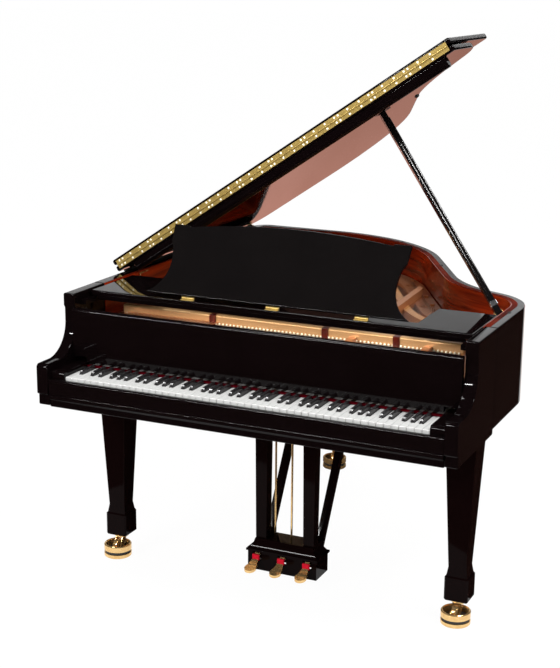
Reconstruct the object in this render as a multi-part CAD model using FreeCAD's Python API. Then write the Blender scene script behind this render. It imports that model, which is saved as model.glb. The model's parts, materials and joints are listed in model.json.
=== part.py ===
"""Grand piano with its lid open, as separate pieces.

Millimetres, +Z up from the floor. X runs along the keyboard with the treble at +X, and Y runs from the
player to the tail. The pieces are drawn with Y = 0 at the fronts of the white keys, and are moved at the
end so that the origin lies on the floor under the middle of the whole.
"""
import FreeCAD, Part
import math
import os

V = FreeCAD.Vector
os.makedirs("parts", exist_ok=True)

# Keyboard
white_pitch = 23.58
white_count = 52
key_gap = 1.0
key_top = 731.4
key_height = 22.0
key_length = 395.0
key_pivot_y = 220.0
sharp_front = 50.0
sharp_length = 78.0
sharp_rise = 12.0
sharp_width = 11.0
sharp_top_width = 9.0
sharp_stick_width = 12.6
sharp_slope = 6.0
sharp_front_gap = 2.2

# Case
rim_thickness = 42.0
key_block_width = 50.0
key_side_gap = 0.64
rim_top = 969.5
rim_bottom = 650.0
board_drop = 161.5
plate_drop = 131.5
string_drop = 105.5
arm_back = 330.0
arm_front = 140.0
arm_top_band = 40.0
arm_band_slope = 10.0
arm_throat = 146.0
arm_throat_z = 880.0
arm_curve_y = 116.0
arm_curve_z = 804.0
scroll_back = 50.0
scroll_top = 772.0
scroll_front = -28.0
scroll_radius = 14.0
arm_foot_z = 671.0
arm_foot_step = 10.0
arm_bottom = 633.0
bend_start = 612.0
shoulder_radius = 200.0
shoulder_turn = 68.0
waist_radius = 430.0
waist_turn = 40.0
flank_length = 339.0
tail_radius = 620.0
tail_corner_radius = 70.0
inner_rim_thickness = 34.0
lining_thickness = 3.0
belly_rail_front = 430.0
belly_rail_depth = 32.0
beam_width = 70.0
beam_height = 85.0
brace_beam_y = 740.0
long_beam_x = (-420.0, -90.0, 240.0)

# Key bed and the pieces round the keys
bed_bottom = 630.0
bed_top = 672.0
bed_front = -24.0
bed_step = 8.0
bed_band = 14.0
bed_slope = 6.0
slip_top = 722.0
slip_front = -22.0
slip_thickness = 16.0
slip_radius = 6.0
key_block_top = 748.0
key_block_front = -6.0
key_block_radius = 12.0
name_rail_y = 130.0
name_rail_depth = 16.0
name_rail_height = 5.0
name_rail_gap = 1.6
key_block_depth = 178.0
frame_front = 12.0
frame_height = 25.0
frame_rail_width = 44.0
frame_rail_count = 3
frame_stretcher_count = 9
pivot_gap = 0.5
pivot_rod_radius = 5.0

# Fallboard
fall_pivot_y = 148.0
fall_pivot_z = 775.0
fall_top = 925.0
fall_thickness = 20.0
fall_side_gap = 0.6
fall_heel = 8.0
fall_skirt = 17.0
fall_barrel_radius = 6.0

# Soundboard, plate and strings
board_thickness = 8.0
plate_thickness = 12.0
plate_front = 165.0
plate_web_back = 335.0
plate_clearance = 4.0
plate_flange = 78.0
plate_hole_radius = 17.0
plate_hole_count = 9
plate_hole_share = 0.66
plate_rest_share = 0.3
hitch_share = 0.62
strut_front = 295.0
strut_width = 24.0
strut_height = 34.0
low_strut_height = 9.0
pin_block_front = 172.0
pin_block_back = 330.0
pin_block_height = 30.0
pin_block_half = 610.0
bass_lift = 14.0
treble_wire = 1.4
bass_wire = 3.0
string_lean = -0.06
bass_lean = 0.14
treble_count = 62
bass_count = 26
pin_size = 6.5
pin_rise = 31.0
pin_row_y = (190.0, 222.0, 254.0)
strike_y = 400.0
damper_y = 560.0
damper_count = 68
damper_height = 20.0
damper_depth = 24.0
damper_width = 7.0
bridge_width = 30.0
bridge_inset = 162.0
bass_bridge_width = 23.0
bridge_notch = 2.0
bridge_front = 560.0
rib_count = 9
rib_width = 20.0
rib_height = 18.0
rib_front_margin = 70.0
rib_back_margin = 190.0

# Action
action_rail_y = 286.0
action_rail_drop = 88.0
action_rail_depth = 26.0
action_rail_height = 22.0
action_bracket_x = 626.0
action_bracket_width = 12.0
shank_size = 6.0
hammer_depth = 26.0
hammer_width = 8.0
hammer_gap = 6.0
hammer_point = 8.0
hammer_point_height = 12.0
bracket_foot = 60.0
bracket_foot_height = 12.0

# Lid
lid_angle = 33.8
lid_thickness = 20.0
lid_overhang = 18.0
lid_gap = 4.0
lid_fold_y = 520.0
lid_front = 128.0
lid_corner_radius = 90.0
lid_waist_out = 20.0
fold_axis_rise = 2.5
leaf_thickness = 1.6
leaf_width = 12.0
hinge_end_gap = 15.0
knuckle_radius = 3.0
hinge_out = 5.0
hinge_drop = 4.0
hinge_barrel_radius = 4.5
hinge_leaf_length = 62.0
hinge_leaf_height = 30.0
side_hinge_y = (560.0, 1040.0, 1520.0)
batten_height = 34.0
batten_depth = 34.0
batten_left = 650.0
batten_right = 682.0
running_gap = 0.3

# Lid prop
prop_base_x = 638.0
prop_base_y = 580.0
prop_base_drop = 19.5
prop_socket_x = 342.0
prop_socket_y = 735.0
prop_width = 30.0
prop_thickness = 20.0
prop_pin_radius = 5.0
prop_pin_clearance = 0.05
prop_fold_direction = V(-0.55, 0.83, 0.0)
socket_size = 52.0
socket_height = 12.0
cheek_thickness = 4.0

# Music desk and tray
tray_front = 235.0
tray_back = 505.0
tray_drop = 3.5
tray_thickness = 20.0
tray_side_gap = 6.0
tray_rail_depth = 62.0
tray_lip_depth = 20.0
tray_lip_drop = 11.0
shelf_gap = 8.0
runner_width = 24.0
runner_height = 16.0
runner_start = 60.0
desk_axis_y = 250.0
desk_axis_rise = 5.0
desk_lean = 32.0
desk_half_width = 454.0
desk_waist_in = 64.0
desk_waist_height = 110.0
desk_flare = 20.0
desk_flare_height = 44.0
desk_neck_out = 8.0
desk_ear_slope = 20.0
desk_ear_draft = 4.0
desk_ear_in = 42.0
desk_ear_width = 58.0
desk_ear_height = 60.0
desk_ear_step = 6.0
desk_height = 247.0
desk_arch = 266.0
desk_thickness = 14.0
desk_foot = 5.0
desk_hinge_x = (-300.0, 0.0, 300.0)
desk_hinge_width = 44.0
desk_barrel_radius = 4.7

# Legs and casters
leg_x = 619.6
leg_y = 338.0
rear_leg_x = -284.0
rear_leg_y = 1518.0
leg_top_width = 102.0
leg_ankle_width = 61.0
leg_ankle_z = 186.0
foot_width = 70.0
foot_z = 158.0
foot_bottom_width = 61.0
foot_bottom = 72.0
cup_radius = 48.0
cup_height = 46.0
cup_floor = 12.0
cup_wall = 8.0
cup_groove_z = 14.0
cup_groove_height = 10.0
cup_groove_depth = 5.0
cup_edge = 3.0
wheel_radius = 23.0
wheel_width = 20.0
wheel_edge = 3.0
caster_trail = 28.0
fork_plate_radius = 25.0
fork_plate_height = 7.0
fork_cheek = 4.0
fork_cheek_front = 18.0
fork_cheek_back = 14.0
fork_eye = 8.0
fork_side_gap = 1.0
axle_radius = 4.0
axle_clearance = 0.05

# Pedal lyre
column_x = 87.0
column_y = 380.0
column_top_width = 45.0
column_foot_width = 38.0
lyre_head_height = 26.0
lyre_head_half = 128.0
lyre_head_depth = 96.0
box_half = 126.0
box_front = 340.0
box_back = 438.0
box_bottom = 33.0
box_height = 66.0
box_wall = 12.0
box_lip_height = 7.0
box_lip_out = 5.0
box_cap_height = 34.0
box_cap_in = 20.0
box_cap_hollow = 5.0
box_cap_front = 14.0
box_cap_back = 8.0
pedal_tip_y = 267.0
pedal_tip_radius = 20.0
pedal_neck_width = 17.0
pedal_z = 48.0
pedal_thickness = 9.0
pedal_heel_z = 83.0
pedal_pivot_y = 378.0
pedal_back_y = 427.0
pedal_slot_gap = 7.0
pedal_slot_drop = 16.0
pedal_pin_radius = 4.0
pedal_flare = 48.0
rod_spacing = 60.0
rod_y = 418.0
rod_radius = 3.5
rod_clearance = 0.5
rod_top = 622.0
brace_x = 94.0
brace_size = 26.0
brace_low_rise = 46.0
brace_low_in = 20.0
brace_high_rise = 60.0
brace_high_out = 40.0

# Sizes that follow from the ones above
keyboard_width = white_pitch * white_count
case_half = keyboard_width / 2 + key_block_width + key_side_gap + rim_thickness
inside_half = case_half - rim_thickness
key_bottom = key_top - key_height
key_pivot_z = key_bottom - pivot_gap - pivot_rod_radius
inner_rim_top = rim_top - board_drop
plate_bottom = rim_top - plate_drop
string_height = rim_top - string_drop
action_rail_z = string_height - action_rail_drop
lid_bottom = rim_top + lid_gap
lid_top = lid_bottom + lid_thickness
lid_axis = V(-case_half - hinge_out, 0, rim_top - hinge_drop)
fold_axis = V(0, lid_fold_y, lid_top + fold_axis_rise)
board_bottom = inner_rim_top
board_top = board_bottom + board_thickness
plate_top = plate_bottom + plate_thickness
pedal_spacing = 0.73 * box_half


def box(x0, x1, y0, y1, z0, z1):
    return Part.makeBox(x1 - x0, y1 - y0, z1 - z0, V(x0, y0, z0))


def face_of(edges):
    return Part.Face(Part.Wire(edges))


def polygon(points):
    return Part.Face(Part.makePolygon([V(*p) for p in points] + [V(*points[0])]))


def prism(face, z0, z1):
    lifted = face.copy()
    lifted.translate(V(0, 0, z0))
    return lifted.extrude(V(0, 0, z1 - z0))


def line(a, b):
    return Part.LineSegment(a, b).toShape()


def arc(a, b, c):
    return Part.Arc(a, b, c).toShape()


def square(width, x, y, z):
    half = width / 2
    corners = [V(x + i * half, y + j * half, z) for i, j in ((-1, -1), (1, -1), (1, 1), (-1, 1))]
    return Part.makePolygon(corners + corners[:1])


def mirrored(shape):
    return shape.mirror(V(0, 0, 0), V(1, 0, 0))


def bar(start, end, width, depth, across):
    """A straight bar of rectangular section between two points, its width along the vector across."""
    along = (end - start).normalize()
    side = (across - along * across.dot(along)).normalize()
    other = along.cross(side)
    turn = FreeCAD.Rotation(side, other, along, "ZXY")
    solid = Part.makeBox(width, depth, (end - start).Length, V(-width / 2, -depth / 2, 0))
    solid.Placement = FreeCAD.Placement(start, turn)
    return solid


# The plan of the case: straight treble side, rounded shoulder, waist, flank, tail and straight spine.
def turn_left(p, heading, radius, angle):
    centre = p + V(-math.sin(heading), math.cos(heading), 0) * radius
    points = []
    for share in (0.5, 1.0):
        h = heading + angle * share
        points.append(centre - V(-math.sin(h), math.cos(h), 0) * radius)
    return points[0], points[1], heading + angle


def case_outline(inset, y_front, shoulder=None):
    """Edges of the plan outline moved inwards by inset, from the treble front round to the bass front.

    A smaller shoulder radius draws the shoulder as a tighter corner between the same tangents.
    """
    p = V(case_half - inset, y_front, 0)
    heading = math.pi / 2
    edges = []

    def straight(length):
        nonlocal p
        q = p + V(math.cos(heading), math.sin(heading), 0) * length
        edges.append(line(p, q))
        p = q

    def curve(radius, degrees):
        nonlocal p, heading
        sign = 1 if degrees > 0 else -1
        middle, end, heading = turn_left(p, heading, sign * radius, math.radians(degrees))
        edges.append(arc(p, middle, end))
        p = end

    full = shoulder_radius - inset
    round_off = full if shoulder is None else shoulder
    spare = (full - round_off) * math.tan(math.radians(shoulder_turn / 2))
    straight(bend_start - y_front + spare)
    curve(round_off, shoulder_turn)
    if shoulder is not None:
        straight(spare - lid_waist_out)
    curve(waist_radius + inset, -waist_turn)
    straight(flank_length)
    curve(tail_radius - inset, 90 - shoulder_turn + waist_turn)
    corner = max(tail_corner_radius - inset, 0)
    straight(p.x + case_half - inset - corner)
    if corner:
        curve(corner, 90)
    else:
        heading += math.pi / 2
    straight(p.y - y_front)
    return edges, p


def case_face(inset, y_front, shoulder=None):
    edges, end = case_outline(inset, y_front, shoulder)
    edges.append(line(end, V(-end.x, y_front, 0)))
    return face_of(edges)


def case_ring(inset, thickness, y_front, z0, z1):
    """A wall that follows the case, open at the front."""
    outside = prism(case_face(inset, y_front), z0, z1)
    return outside.cut(prism(case_face(inset + thickness, y_front - 1), z0 - 1, z1 + 1))


case_tail = case_face(0, arm_back).BoundBox.YMax
nodes = {}


# Case
def arm():
    """The treble arm: a board whose front sweeps down into a flat scroll."""
    def at(y, z):
        return V(inside_half, y, z)

    edges = [
        line(at(arm_back, rim_top), at(arm_front, rim_top)),
        line(at(arm_front, rim_top), at(arm_front, rim_top - arm_top_band)),
        line(at(arm_front, rim_top - arm_top_band), at(arm_throat, rim_top - arm_top_band - arm_band_slope)),
        line(at(arm_throat, rim_top - arm_top_band - arm_band_slope), at(arm_throat, arm_throat_z)),
        arc(at(arm_throat, arm_throat_z), at(arm_curve_y, arm_curve_z), at(scroll_back, scroll_top)),
        line(at(scroll_back, scroll_top), at(scroll_front + scroll_radius, scroll_top)),
    ]
    bend = scroll_radius * (1 - math.sqrt(0.5))
    edges.append(arc(at(scroll_front + scroll_radius, scroll_top),
                     at(scroll_front + bend, scroll_top - bend),
                     at(scroll_front, scroll_top - scroll_radius)))
    foot = scroll_front + arm_foot_step
    corners = [at(scroll_front, scroll_top - scroll_radius), at(scroll_front, arm_foot_z),
               at(foot, arm_foot_z), at(foot, arm_bottom), at(arm_back, arm_bottom), at(arm_back, rim_top)]
    edges += [line(a, b) for a, b in zip(corners, corners[1:])]
    return face_of(edges).extrude(V(rim_thickness, 0, 0))


nodes["outer_rim"] = case_ring(0, rim_thickness, arm_back, rim_bottom, rim_top)
nodes["arms"] = Part.makeCompound([arm(), mirrored(arm())])
nodes["rim_lining"] = case_ring(rim_thickness, lining_thickness, arm_back, board_top, rim_top - 1)
nodes["inner_rim"] = case_ring(rim_thickness, inner_rim_thickness, belly_rail_front, rim_bottom, inner_rim_top)


def case_beams():
    """Belly rail across the front, two cross beams and three long beams, cut to the inside of the inner rim."""
    belly_back = belly_rail_front + belly_rail_depth
    room = prism(case_face(rim_thickness + inner_rim_thickness, belly_rail_front), rim_bottom, inner_rim_top)
    rail = box(-case_half, case_half, belly_rail_front, belly_back, rim_bottom, inner_rim_top).common(room)
    top = rim_bottom + beam_height
    cross = []
    for y, depth in ((brace_beam_y, beam_width), (rear_leg_y, leg_top_width)):
        cross.append(box(-case_half, case_half, y - depth / 2, y + depth / 2, rim_bottom, top).common(room))
    spans = ((belly_back, brace_beam_y - beam_width / 2),
             (brace_beam_y + beam_width / 2, rear_leg_y - leg_top_width / 2))
    long_beams = []
    for x in long_beam_x:
        for y0, y1 in spans:
            piece = box(x - beam_width / 2, x + beam_width / 2, y0, y1, rim_bottom, top).common(room)
            long_beams.append(piece)
    return Part.makeCompound([rail] + cross + long_beams)


nodes["case_beams"] = case_beams()


def key_bed():
    step = bed_front + bed_step
    band = bed_top - bed_band
    corners = ((bed_front, bed_top), (bed_front, band), (step, band - bed_slope), (step, bed_bottom),
               (belly_rail_front, bed_bottom), (belly_rail_front, bed_top))
    profile = polygon([(-inside_half, y, z) for y, z in corners])
    return profile.extrude(V(2 * inside_half, 0, 0))


def key_slip():
    back = slip_front + slip_thickness
    radius = slip_radius
    bend = radius * (1 - math.sqrt(0.5))
    x = -inside_half
    edges = [
        line(V(x, slip_front, bed_top), V(x, back, bed_top)),
        line(V(x, back, bed_top), V(x, back, slip_top)),
        line(V(x, back, slip_top), V(x, slip_front + radius, slip_top)),
        arc(V(x, slip_front + radius, slip_top), V(x, slip_front + bend, slip_top - bend),
            V(x, slip_front, slip_top - radius)),
        line(V(x, slip_front, slip_top - radius), V(x, slip_front, bed_top)),
    ]
    return face_of(edges).extrude(V(2 * inside_half, 0, 0))


def key_block():
    back = key_block_front + key_block_depth
    radius = key_block_radius
    bend = radius * (1 - math.sqrt(0.5))
    x = inside_half - key_block_width
    front = key_block_front
    edges = [
        line(V(x, front, bed_top), V(x, back, bed_top)),
        line(V(x, back, bed_top), V(x, back, key_block_top)),
        line(V(x, back, key_block_top), V(x, front + radius, key_block_top)),
        arc(V(x, front + radius, key_block_top), V(x, front + bend, key_block_top - bend),
            V(x, front, key_block_top - radius)),
        line(V(x, front, key_block_top - radius), V(x, front, bed_top)),
    ]
    return face_of(edges).extrude(V(key_block_width, 0, 0))


nodes["key_bed"] = key_bed()
nodes["key_slip"] = key_slip()
nodes["key_blocks"] = Part.makeCompound([key_block(), mirrored(key_block())])
between_blocks = inside_half - key_block_width
name_rail_bottom = key_top + name_rail_gap
nodes["name_rail"] = box(-between_blocks, between_blocks, name_rail_y, name_rail_y + name_rail_depth,
                         name_rail_bottom, name_rail_bottom + name_rail_height)


# Keyboard: the middle of each black key, in white keys from the start of its octave, and the octave's notes.
sharp_places = {"C": 0.89, "D": 2.11, "F": 3.86, "G": 5.0, "A": 6.14}
naturals = ("C", "D", "E", "F", "G", "A", "B")
first_natural = 5


def natural_name(index):
    place = (index + first_natural) % 7
    octave = (index + first_natural) // 7
    return naturals[place], octave


def key_edge(index):
    return -keyboard_width / 2 + index * white_pitch


def sharp_middle(index):
    """The middle of the black key that follows the natural with this index, or None where there is none."""
    name, octave = natural_name(index)
    if name not in sharp_places or index > white_count - 2:
        return None
    octave_start = key_edge(octave * 7 - first_natural)
    return octave_start + sharp_places[name] * white_pitch


def white_key(index):
    left = key_edge(index) + key_gap / 2
    right = key_edge(index + 1) - key_gap / 2
    cut = sharp_stick_width / 2 + key_gap
    before = sharp_middle(index - 1) if index > 0 else None
    after = sharp_middle(index)
    tail_left = left if before is None else before + cut
    tail_right = right if after is None else after - cut
    notch = sharp_front - sharp_front_gap
    points = [(left, 0, 0), (right, 0, 0), (right, notch, 0), (tail_right, notch, 0), (tail_right, key_length, 0),
              (tail_left, key_length, 0), (tail_left, notch, 0), (left, notch, 0)]
    unique = [p for i, p in enumerate(points) if p != points[i - 1]]
    return prism(polygon(unique), key_bottom, key_top)


def black_key(x):
    half = sharp_stick_width / 2
    stick = box(x - half, x + half, sharp_front, key_length, key_bottom, key_top)
    back = sharp_front + sharp_length

    def ring(width, front, z):
        w = width / 2
        corners = [V(x - w, front, z), V(x + w, front, z), V(x + w, back, z), V(x - w, back, z)]
        return Part.makePolygon(corners + corners[:1])

    cap = Part.makeLoft([ring(sharp_width, sharp_front, key_top),
                         ring(sharp_top_width, sharp_front + sharp_slope, key_top + sharp_rise)], True, True)
    return stick.fuse(cap).removeSplitter()


def keyboard():
    groups = {"white_keys_bass": [], "white_keys_treble": [], "black_keys_bass": [], "black_keys_treble": []}
    single = {}
    for index in range(white_count):
        name, octave = natural_name(index)
        side = "bass" if octave < 4 else "treble"
        if octave == 4 and name in ("C", "D"):
            single["key_" + name.lower() + "4"] = white_key(index)
        else:
            groups["white_keys_" + side].append(white_key(index))
        middle = sharp_middle(index)
        if middle is None:
            continue
        if octave == 4 and name == "C":
            single["key_c_sharp4"] = black_key(middle)
        else:
            groups["black_keys_" + side].append(black_key(middle))
    for group, solids in groups.items():
        nodes[group] = Part.makeCompound(solids)
    nodes.update(single)


keyboard()


def key_frame():
    """Front, balance and back rails joined by stretchers; the keys rock on the round top of the balance rail."""
    top = bed_top + frame_height
    half = keyboard_width / 2
    first = frame_front
    last = key_length - frame_rail_width
    step = (last - first) / (frame_rail_count - 1)
    frame = box(-half, half, first, first + frame_rail_width, bed_top, top)
    for i in range(1, frame_rail_count):
        y = first + i * step
        frame = frame.fuse(box(-half, half, y, y + frame_rail_width, bed_top, top))
    gap = 2 * half / (frame_stretcher_count - 1)
    for i in range(frame_stretcher_count):
        x = -half + i * gap
        x0 = max(-half, x - frame_rail_width / 2)
        x1 = min(half, x + frame_rail_width / 2)
        frame = frame.fuse(box(x0, x1, first, last, bed_top, top))
    r = pivot_rod_radius
    foot = box(-half, half, key_pivot_y - r, key_pivot_y + r, bed_top, key_pivot_z)
    rod = Part.makeCylinder(r, 2 * half, V(-half, key_pivot_y, key_pivot_z), V(1, 0, 0))
    return frame.fuse(foot).fuse(rod).removeSplitter()


nodes["key_frame"] = key_frame()


# Fallboard: a board with a rounded top edge, and a skirt between the key blocks, standing open behind the keys.
def fallboard():
    half = inside_half - fall_side_gap
    back = fall_pivot_y - 2
    front = back - fall_thickness
    foot = fall_pivot_z - fall_heel
    x = -half
    middle = front + fall_thickness / 2
    edges = [
        line(V(x, front, fall_top - fall_thickness / 2), V(x, front, foot)),
        line(V(x, front, foot), V(x, back, foot)),
        line(V(x, back, foot), V(x, back, fall_top - fall_thickness / 2)),
        arc(V(x, back, fall_top - fall_thickness / 2), V(x, middle, fall_top),
            V(x, front, fall_top - fall_thickness / 2)),
    ]
    board = face_of(edges).extrude(V(2 * half, 0, 0))
    skirt_half = between_blocks - 2
    skirt = box(-skirt_half, skirt_half, front, back, foot - fall_skirt, foot)
    barrel = Part.makeCylinder(fall_barrel_radius, 2 * half, V(-half, fall_pivot_y, fall_pivot_z), V(1, 0, 0))
    return board.fuse(skirt).fuse(barrel).removeSplitter()


nodes["fallboard"] = fallboard()


# Soundboard with its ribs and bridges
def soundboard():
    return prism(case_face(rim_thickness, belly_rail_front), board_bottom, board_top)


def ribs():
    room = prism(case_face(rim_thickness + inner_rim_thickness, belly_rail_front + belly_rail_depth),
                 board_bottom - rib_height, board_bottom)
    first = belly_rail_front + belly_rail_depth + rib_front_margin
    step = (case_tail - rib_back_margin - first) / (rib_count - 1)
    solids = []
    for i in range(rib_count):
        y = first + i * step
        rib = box(-case_half, case_half, y, y + rib_width, board_bottom - rib_height, board_bottom)
        solids.append(rib.common(room))
    return Part.makeCompound(solids)


nodes["soundboard"] = soundboard()
nodes["soundboard_ribs"] = ribs()


# Strings run back from the tuning pins. The bass strings lie above the others and cross them.
treble_left = -164.0
tenor_right = 30.0
treble_right = 580.0
bass_left = -588.0
bass_right = -262.0
strut_x = (-190.0, 240.0, 490.0)


def note_positions(first, last, count, gaps):
    """Even places from first to last that leave the given gaps free."""
    usable = last - first - sum(width for _, width in gaps)
    places = []
    for i in range(count):
        x = first + usable * i / (count - 1)
        for middle, width in gaps:
            if x > middle - width / 2:
                x += width
        places.append(x)
    return places


string_start_y = pin_row_y[0]
strut_gap = strut_width + 12
treble_places = note_positions(treble_left, treble_right, treble_count, [(x, strut_gap) for x in strut_x[1:]])
bass_places = note_positions(bass_left, bass_right, bass_count, [])


def string_set(places, lean, wire, height):
    """Straight strings to the plate's flange, or to just behind the long bridge where the bass bridge follows."""
    flange = case_face(rim_thickness + plate_clearance + plate_flange * hitch_share, 0)
    behind_bridge = case_face(bridge_inset - bridge_notch, 0)
    solids = []
    for i, x in enumerate(places):
        hitch = behind_bridge if lean < 0 and x < tenor_right else flange
        y0 = pin_row_y[i % len(pin_row_y)] + pin_size / 2
        start = V(x + lean * (y0 - string_start_y), y0, 0)
        far = V(x + lean * (case_tail - string_start_y), case_tail, 0)
        inside = line(start, far).common(hitch)
        box_of = inside.BoundBox
        end_x = box_of.XMax if lean > 0 else box_of.XMin
        end = V(end_x, box_of.YMax, height)
        solids.append(bar(V(start.x, start.y, height), end, wire, wire, V(0, 0, 1)))
    return Part.makeCompound(solids)


nodes["treble_strings"] = string_set(treble_places, string_lean, treble_wire, string_height)
nodes["bass_strings"] = string_set(bass_places, bass_lean, bass_wire, string_height + bass_lift)


def tuning_pins():
    solids = []
    for places, lean in ((bass_places, bass_lean), (treble_places, string_lean)):
        for i, x in enumerate(places):
            y = pin_row_y[i % len(pin_row_y)]
            px = x + lean * (y - string_start_y)
            half = pin_size / 2
            solids.append(box(px - half, px + half, y - half, y + half, plate_top, plate_top + pin_rise))
    return Part.makeCompound(solids)


nodes["tuning_pins"] = tuning_pins()
nodes["pin_block"] = box(-pin_block_half, pin_block_half, pin_block_front, pin_block_back,
                         plate_bottom - pin_block_height, plate_bottom)


def strut(x, z0, z1, width=strut_width):
    """A bar of the plate in line with the strings, from the pin field to the tail."""
    start = V(x, strut_front, z0)
    run = case_tail - start.y
    end = V(x + string_lean * run, case_tail, z0)
    solid = bar(start, end, z1 - z0, width, V(0, 0, 1))
    solid.translate(V(0, 0, (z1 - z0) / 2))
    return solid


def iron_plate():
    """Cast plate: pin field, flange all round on the soundboard's edge, and struts between the openings."""
    inset = rim_thickness + lining_thickness + plate_clearance
    outline = case_face(inset, plate_front)
    plate = prism(outline, plate_bottom, plate_top)
    opening = prism(case_face(inset + plate_flange, plate_web_back), plate_bottom - 1, plate_top + 1)
    for x in strut_x:
        opening = opening.cut(strut(x, plate_bottom - 2, plate_top + 2))
    plate = plate.cut(opening)
    rest = case_ring(inset, plate_flange * plate_rest_share, belly_rail_front + 20, board_top, plate_bottom)
    plate = plate.fuse(rest)
    room = prism(case_face(inset + plate_flange * 0.5, plate_front + 20), plate_bottom, rim_top)
    for x, height in zip(strut_x, (low_strut_height, strut_height, strut_height)):
        plate = plate.fuse(strut(x, plate_top, plate_top + height).common(room))
    holes = Part.Wire(case_outline(inset + plate_flange * plate_hole_share, belly_rail_front)[0][1:5])
    for p in holes.discretize(plate_hole_count):
        plate = plate.cut(Part.makeCylinder(plate_hole_radius, 40, V(p.x, p.y, plate_bottom - 20)))
    return plate.removeSplitter()


nodes["iron_plate"] = iron_plate()


def bridges():
    """The long bridge runs beside the bent side, the bass bridge behind it; both are notched for the struts."""
    bridge_top = string_height - treble_wire / 2
    bass_top = string_height + bass_lift - bass_wire / 2
    first = bass_left + bass_lean * (case_tail - string_start_y)
    last = bass_right + bass_lean * (case_tail - string_start_y)
    long_band = case_ring(bridge_inset, bridge_width, belly_rail_front, board_top, bridge_top)
    long_bridge = long_band.common(box(treble_left - 90, case_half, bridge_front, case_tail, 0, rim_top))
    bass_band = case_ring(bridge_inset - bridge_width, bass_bridge_width, belly_rail_front, board_top, bass_top)
    bass_bridge = bass_band.common(box(first - 20, last, case_tail - 330, case_tail, 0, rim_top))
    solids = []
    for bridge in (long_bridge, bass_bridge):
        for x in strut_x:
            bridge = bridge.cut(strut(x, plate_bottom - bridge_notch, rim_top, strut_width + 2 * bridge_notch))
        solids.append(bridge)
    return Part.makeCompound(solids)


nodes["bridges"] = bridges()


# Dampers stand on the strings, hammers hang below them on the action's rail.
def dampers():
    solids = []
    places = bass_places + treble_places
    for i in range(damper_count):
        low = i < bass_count
        lean = bass_lean if low else string_lean
        height = string_height + (bass_lift + bass_wire / 2 if low else treble_wire / 2)
        x = places[i] + lean * (damper_y - string_start_y)
        half = damper_width / 2
        solids.append(box(x - half, x + half, damper_y, damper_y + damper_depth, height, height + damper_height))
    return Part.makeCompound(solids)


def hammers():
    """Each hammer is a shank from the rail with a pear-shaped head that points up at its string."""
    solids = []
    top = string_height - treble_wire / 2 - hammer_gap
    shank_z = action_rail_z + action_rail_height - 8
    rail_back = action_rail_y + action_rail_depth
    for i, place in enumerate(bass_places + treble_places):
        lean = bass_lean if i < bass_count else string_lean
        x = place + lean * (strike_y - string_start_y)
        half = hammer_width / 2
        y0 = strike_y - hammer_depth / 2
        y1 = strike_y + hammer_depth / 2
        head = polygon([(x - half, y0, shank_z + shank_size), (x - half, y1, shank_z + shank_size),
                        (x - half, strike_y + hammer_point, top - hammer_point_height), (x - half, strike_y, top),
                        (x - half, strike_y - hammer_point, top - hammer_point_height)])
        solids.append(head.extrude(V(hammer_width, 0, 0)))
        size = shank_size / 2
        solids.append(box(x - size, x + size, rail_back, y1, shank_z, shank_z + shank_size))
    return Part.makeCompound(solids)


def action_rails():
    """The hammer rail between two brackets that stand on the key bed."""
    x1 = action_bracket_x
    x2 = action_bracket_x + action_bracket_width
    top = action_rail_z + action_rail_height
    rail_back = action_rail_y + action_rail_depth
    rail = box(-x1, x1, action_rail_y, rail_back, action_rail_z, top)
    foot_front = action_rail_y - bracket_foot
    foot_back = rail_back + bracket_foot
    foot_top = bed_top + bracket_foot_height
    bracket = polygon([(x1, foot_front, bed_top), (x1, foot_back, bed_top), (x1, foot_back, foot_top),
                       (x1, rail_back, action_rail_z), (x1, rail_back, top), (x1, action_rail_y, top),
                       (x1, action_rail_y, action_rail_z), (x1, foot_front, foot_top)]).extrude(V(x2 - x1, 0, 0))
    return rail.fuse(bracket).fuse(mirrored(bracket)).removeSplitter()


nodes["dampers"] = dampers()
nodes["hammers"] = hammers()
nodes["action_rails"] = action_rails()


# Lid. Its pieces are drawn closed and swung open about the hinges on the spine.
def opened(shape):
    turned = shape.copy()
    turned.rotate(lid_axis, V(0, 1, 0), -lid_angle)
    return turned


def folded(shape):
    turned = shape.copy()
    turned.rotate(fold_axis, V(1, 0, 0), 180)
    return opened(turned)


lid_half = case_half + lid_overhang
leaf_room = leaf_thickness + running_gap
lid_hinge_length = 2 * lid_half - 2 * hinge_end_gap


def lid_main():
    return prism(case_face(-lid_overhang, lid_fold_y + leaf_room, lid_corner_radius), lid_bottom, lid_top)


def lid_flap():
    return box(-lid_half, lid_half, lid_front, lid_fold_y - leaf_room, lid_bottom, lid_top)


def edge_leaf(y0, y1):
    half = lid_hinge_length / 2
    return box(-half, half, y0, y1, lid_top - leaf_width, lid_top)


def knuckle(x0, x1):
    return Part.makeCylinder(knuckle_radius, x1 - x0, V(x0, lid_fold_y, fold_axis.z), V(1, 0, 0))


def lid_edge_hinge():
    """The lid's leaf of the long hinge, with the knuckle bar that the flap turns on."""
    half = lid_hinge_length / 2
    leaf = edge_leaf(lid_fold_y + running_gap, lid_fold_y + leaf_room)
    return leaf.fuse(knuckle(-half, half)).removeSplitter()


def flap_edge_hinge():
    leaf = edge_leaf(lid_fold_y - leaf_room, lid_fold_y - running_gap)
    half = lid_hinge_length / 2
    relief = Part.makeCylinder(knuckle_radius + running_gap, 2 * half + 2, V(-half - 1, lid_fold_y, fold_axis.z),
                               V(1, 0, 0))
    return leaf.cut(relief)


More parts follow.
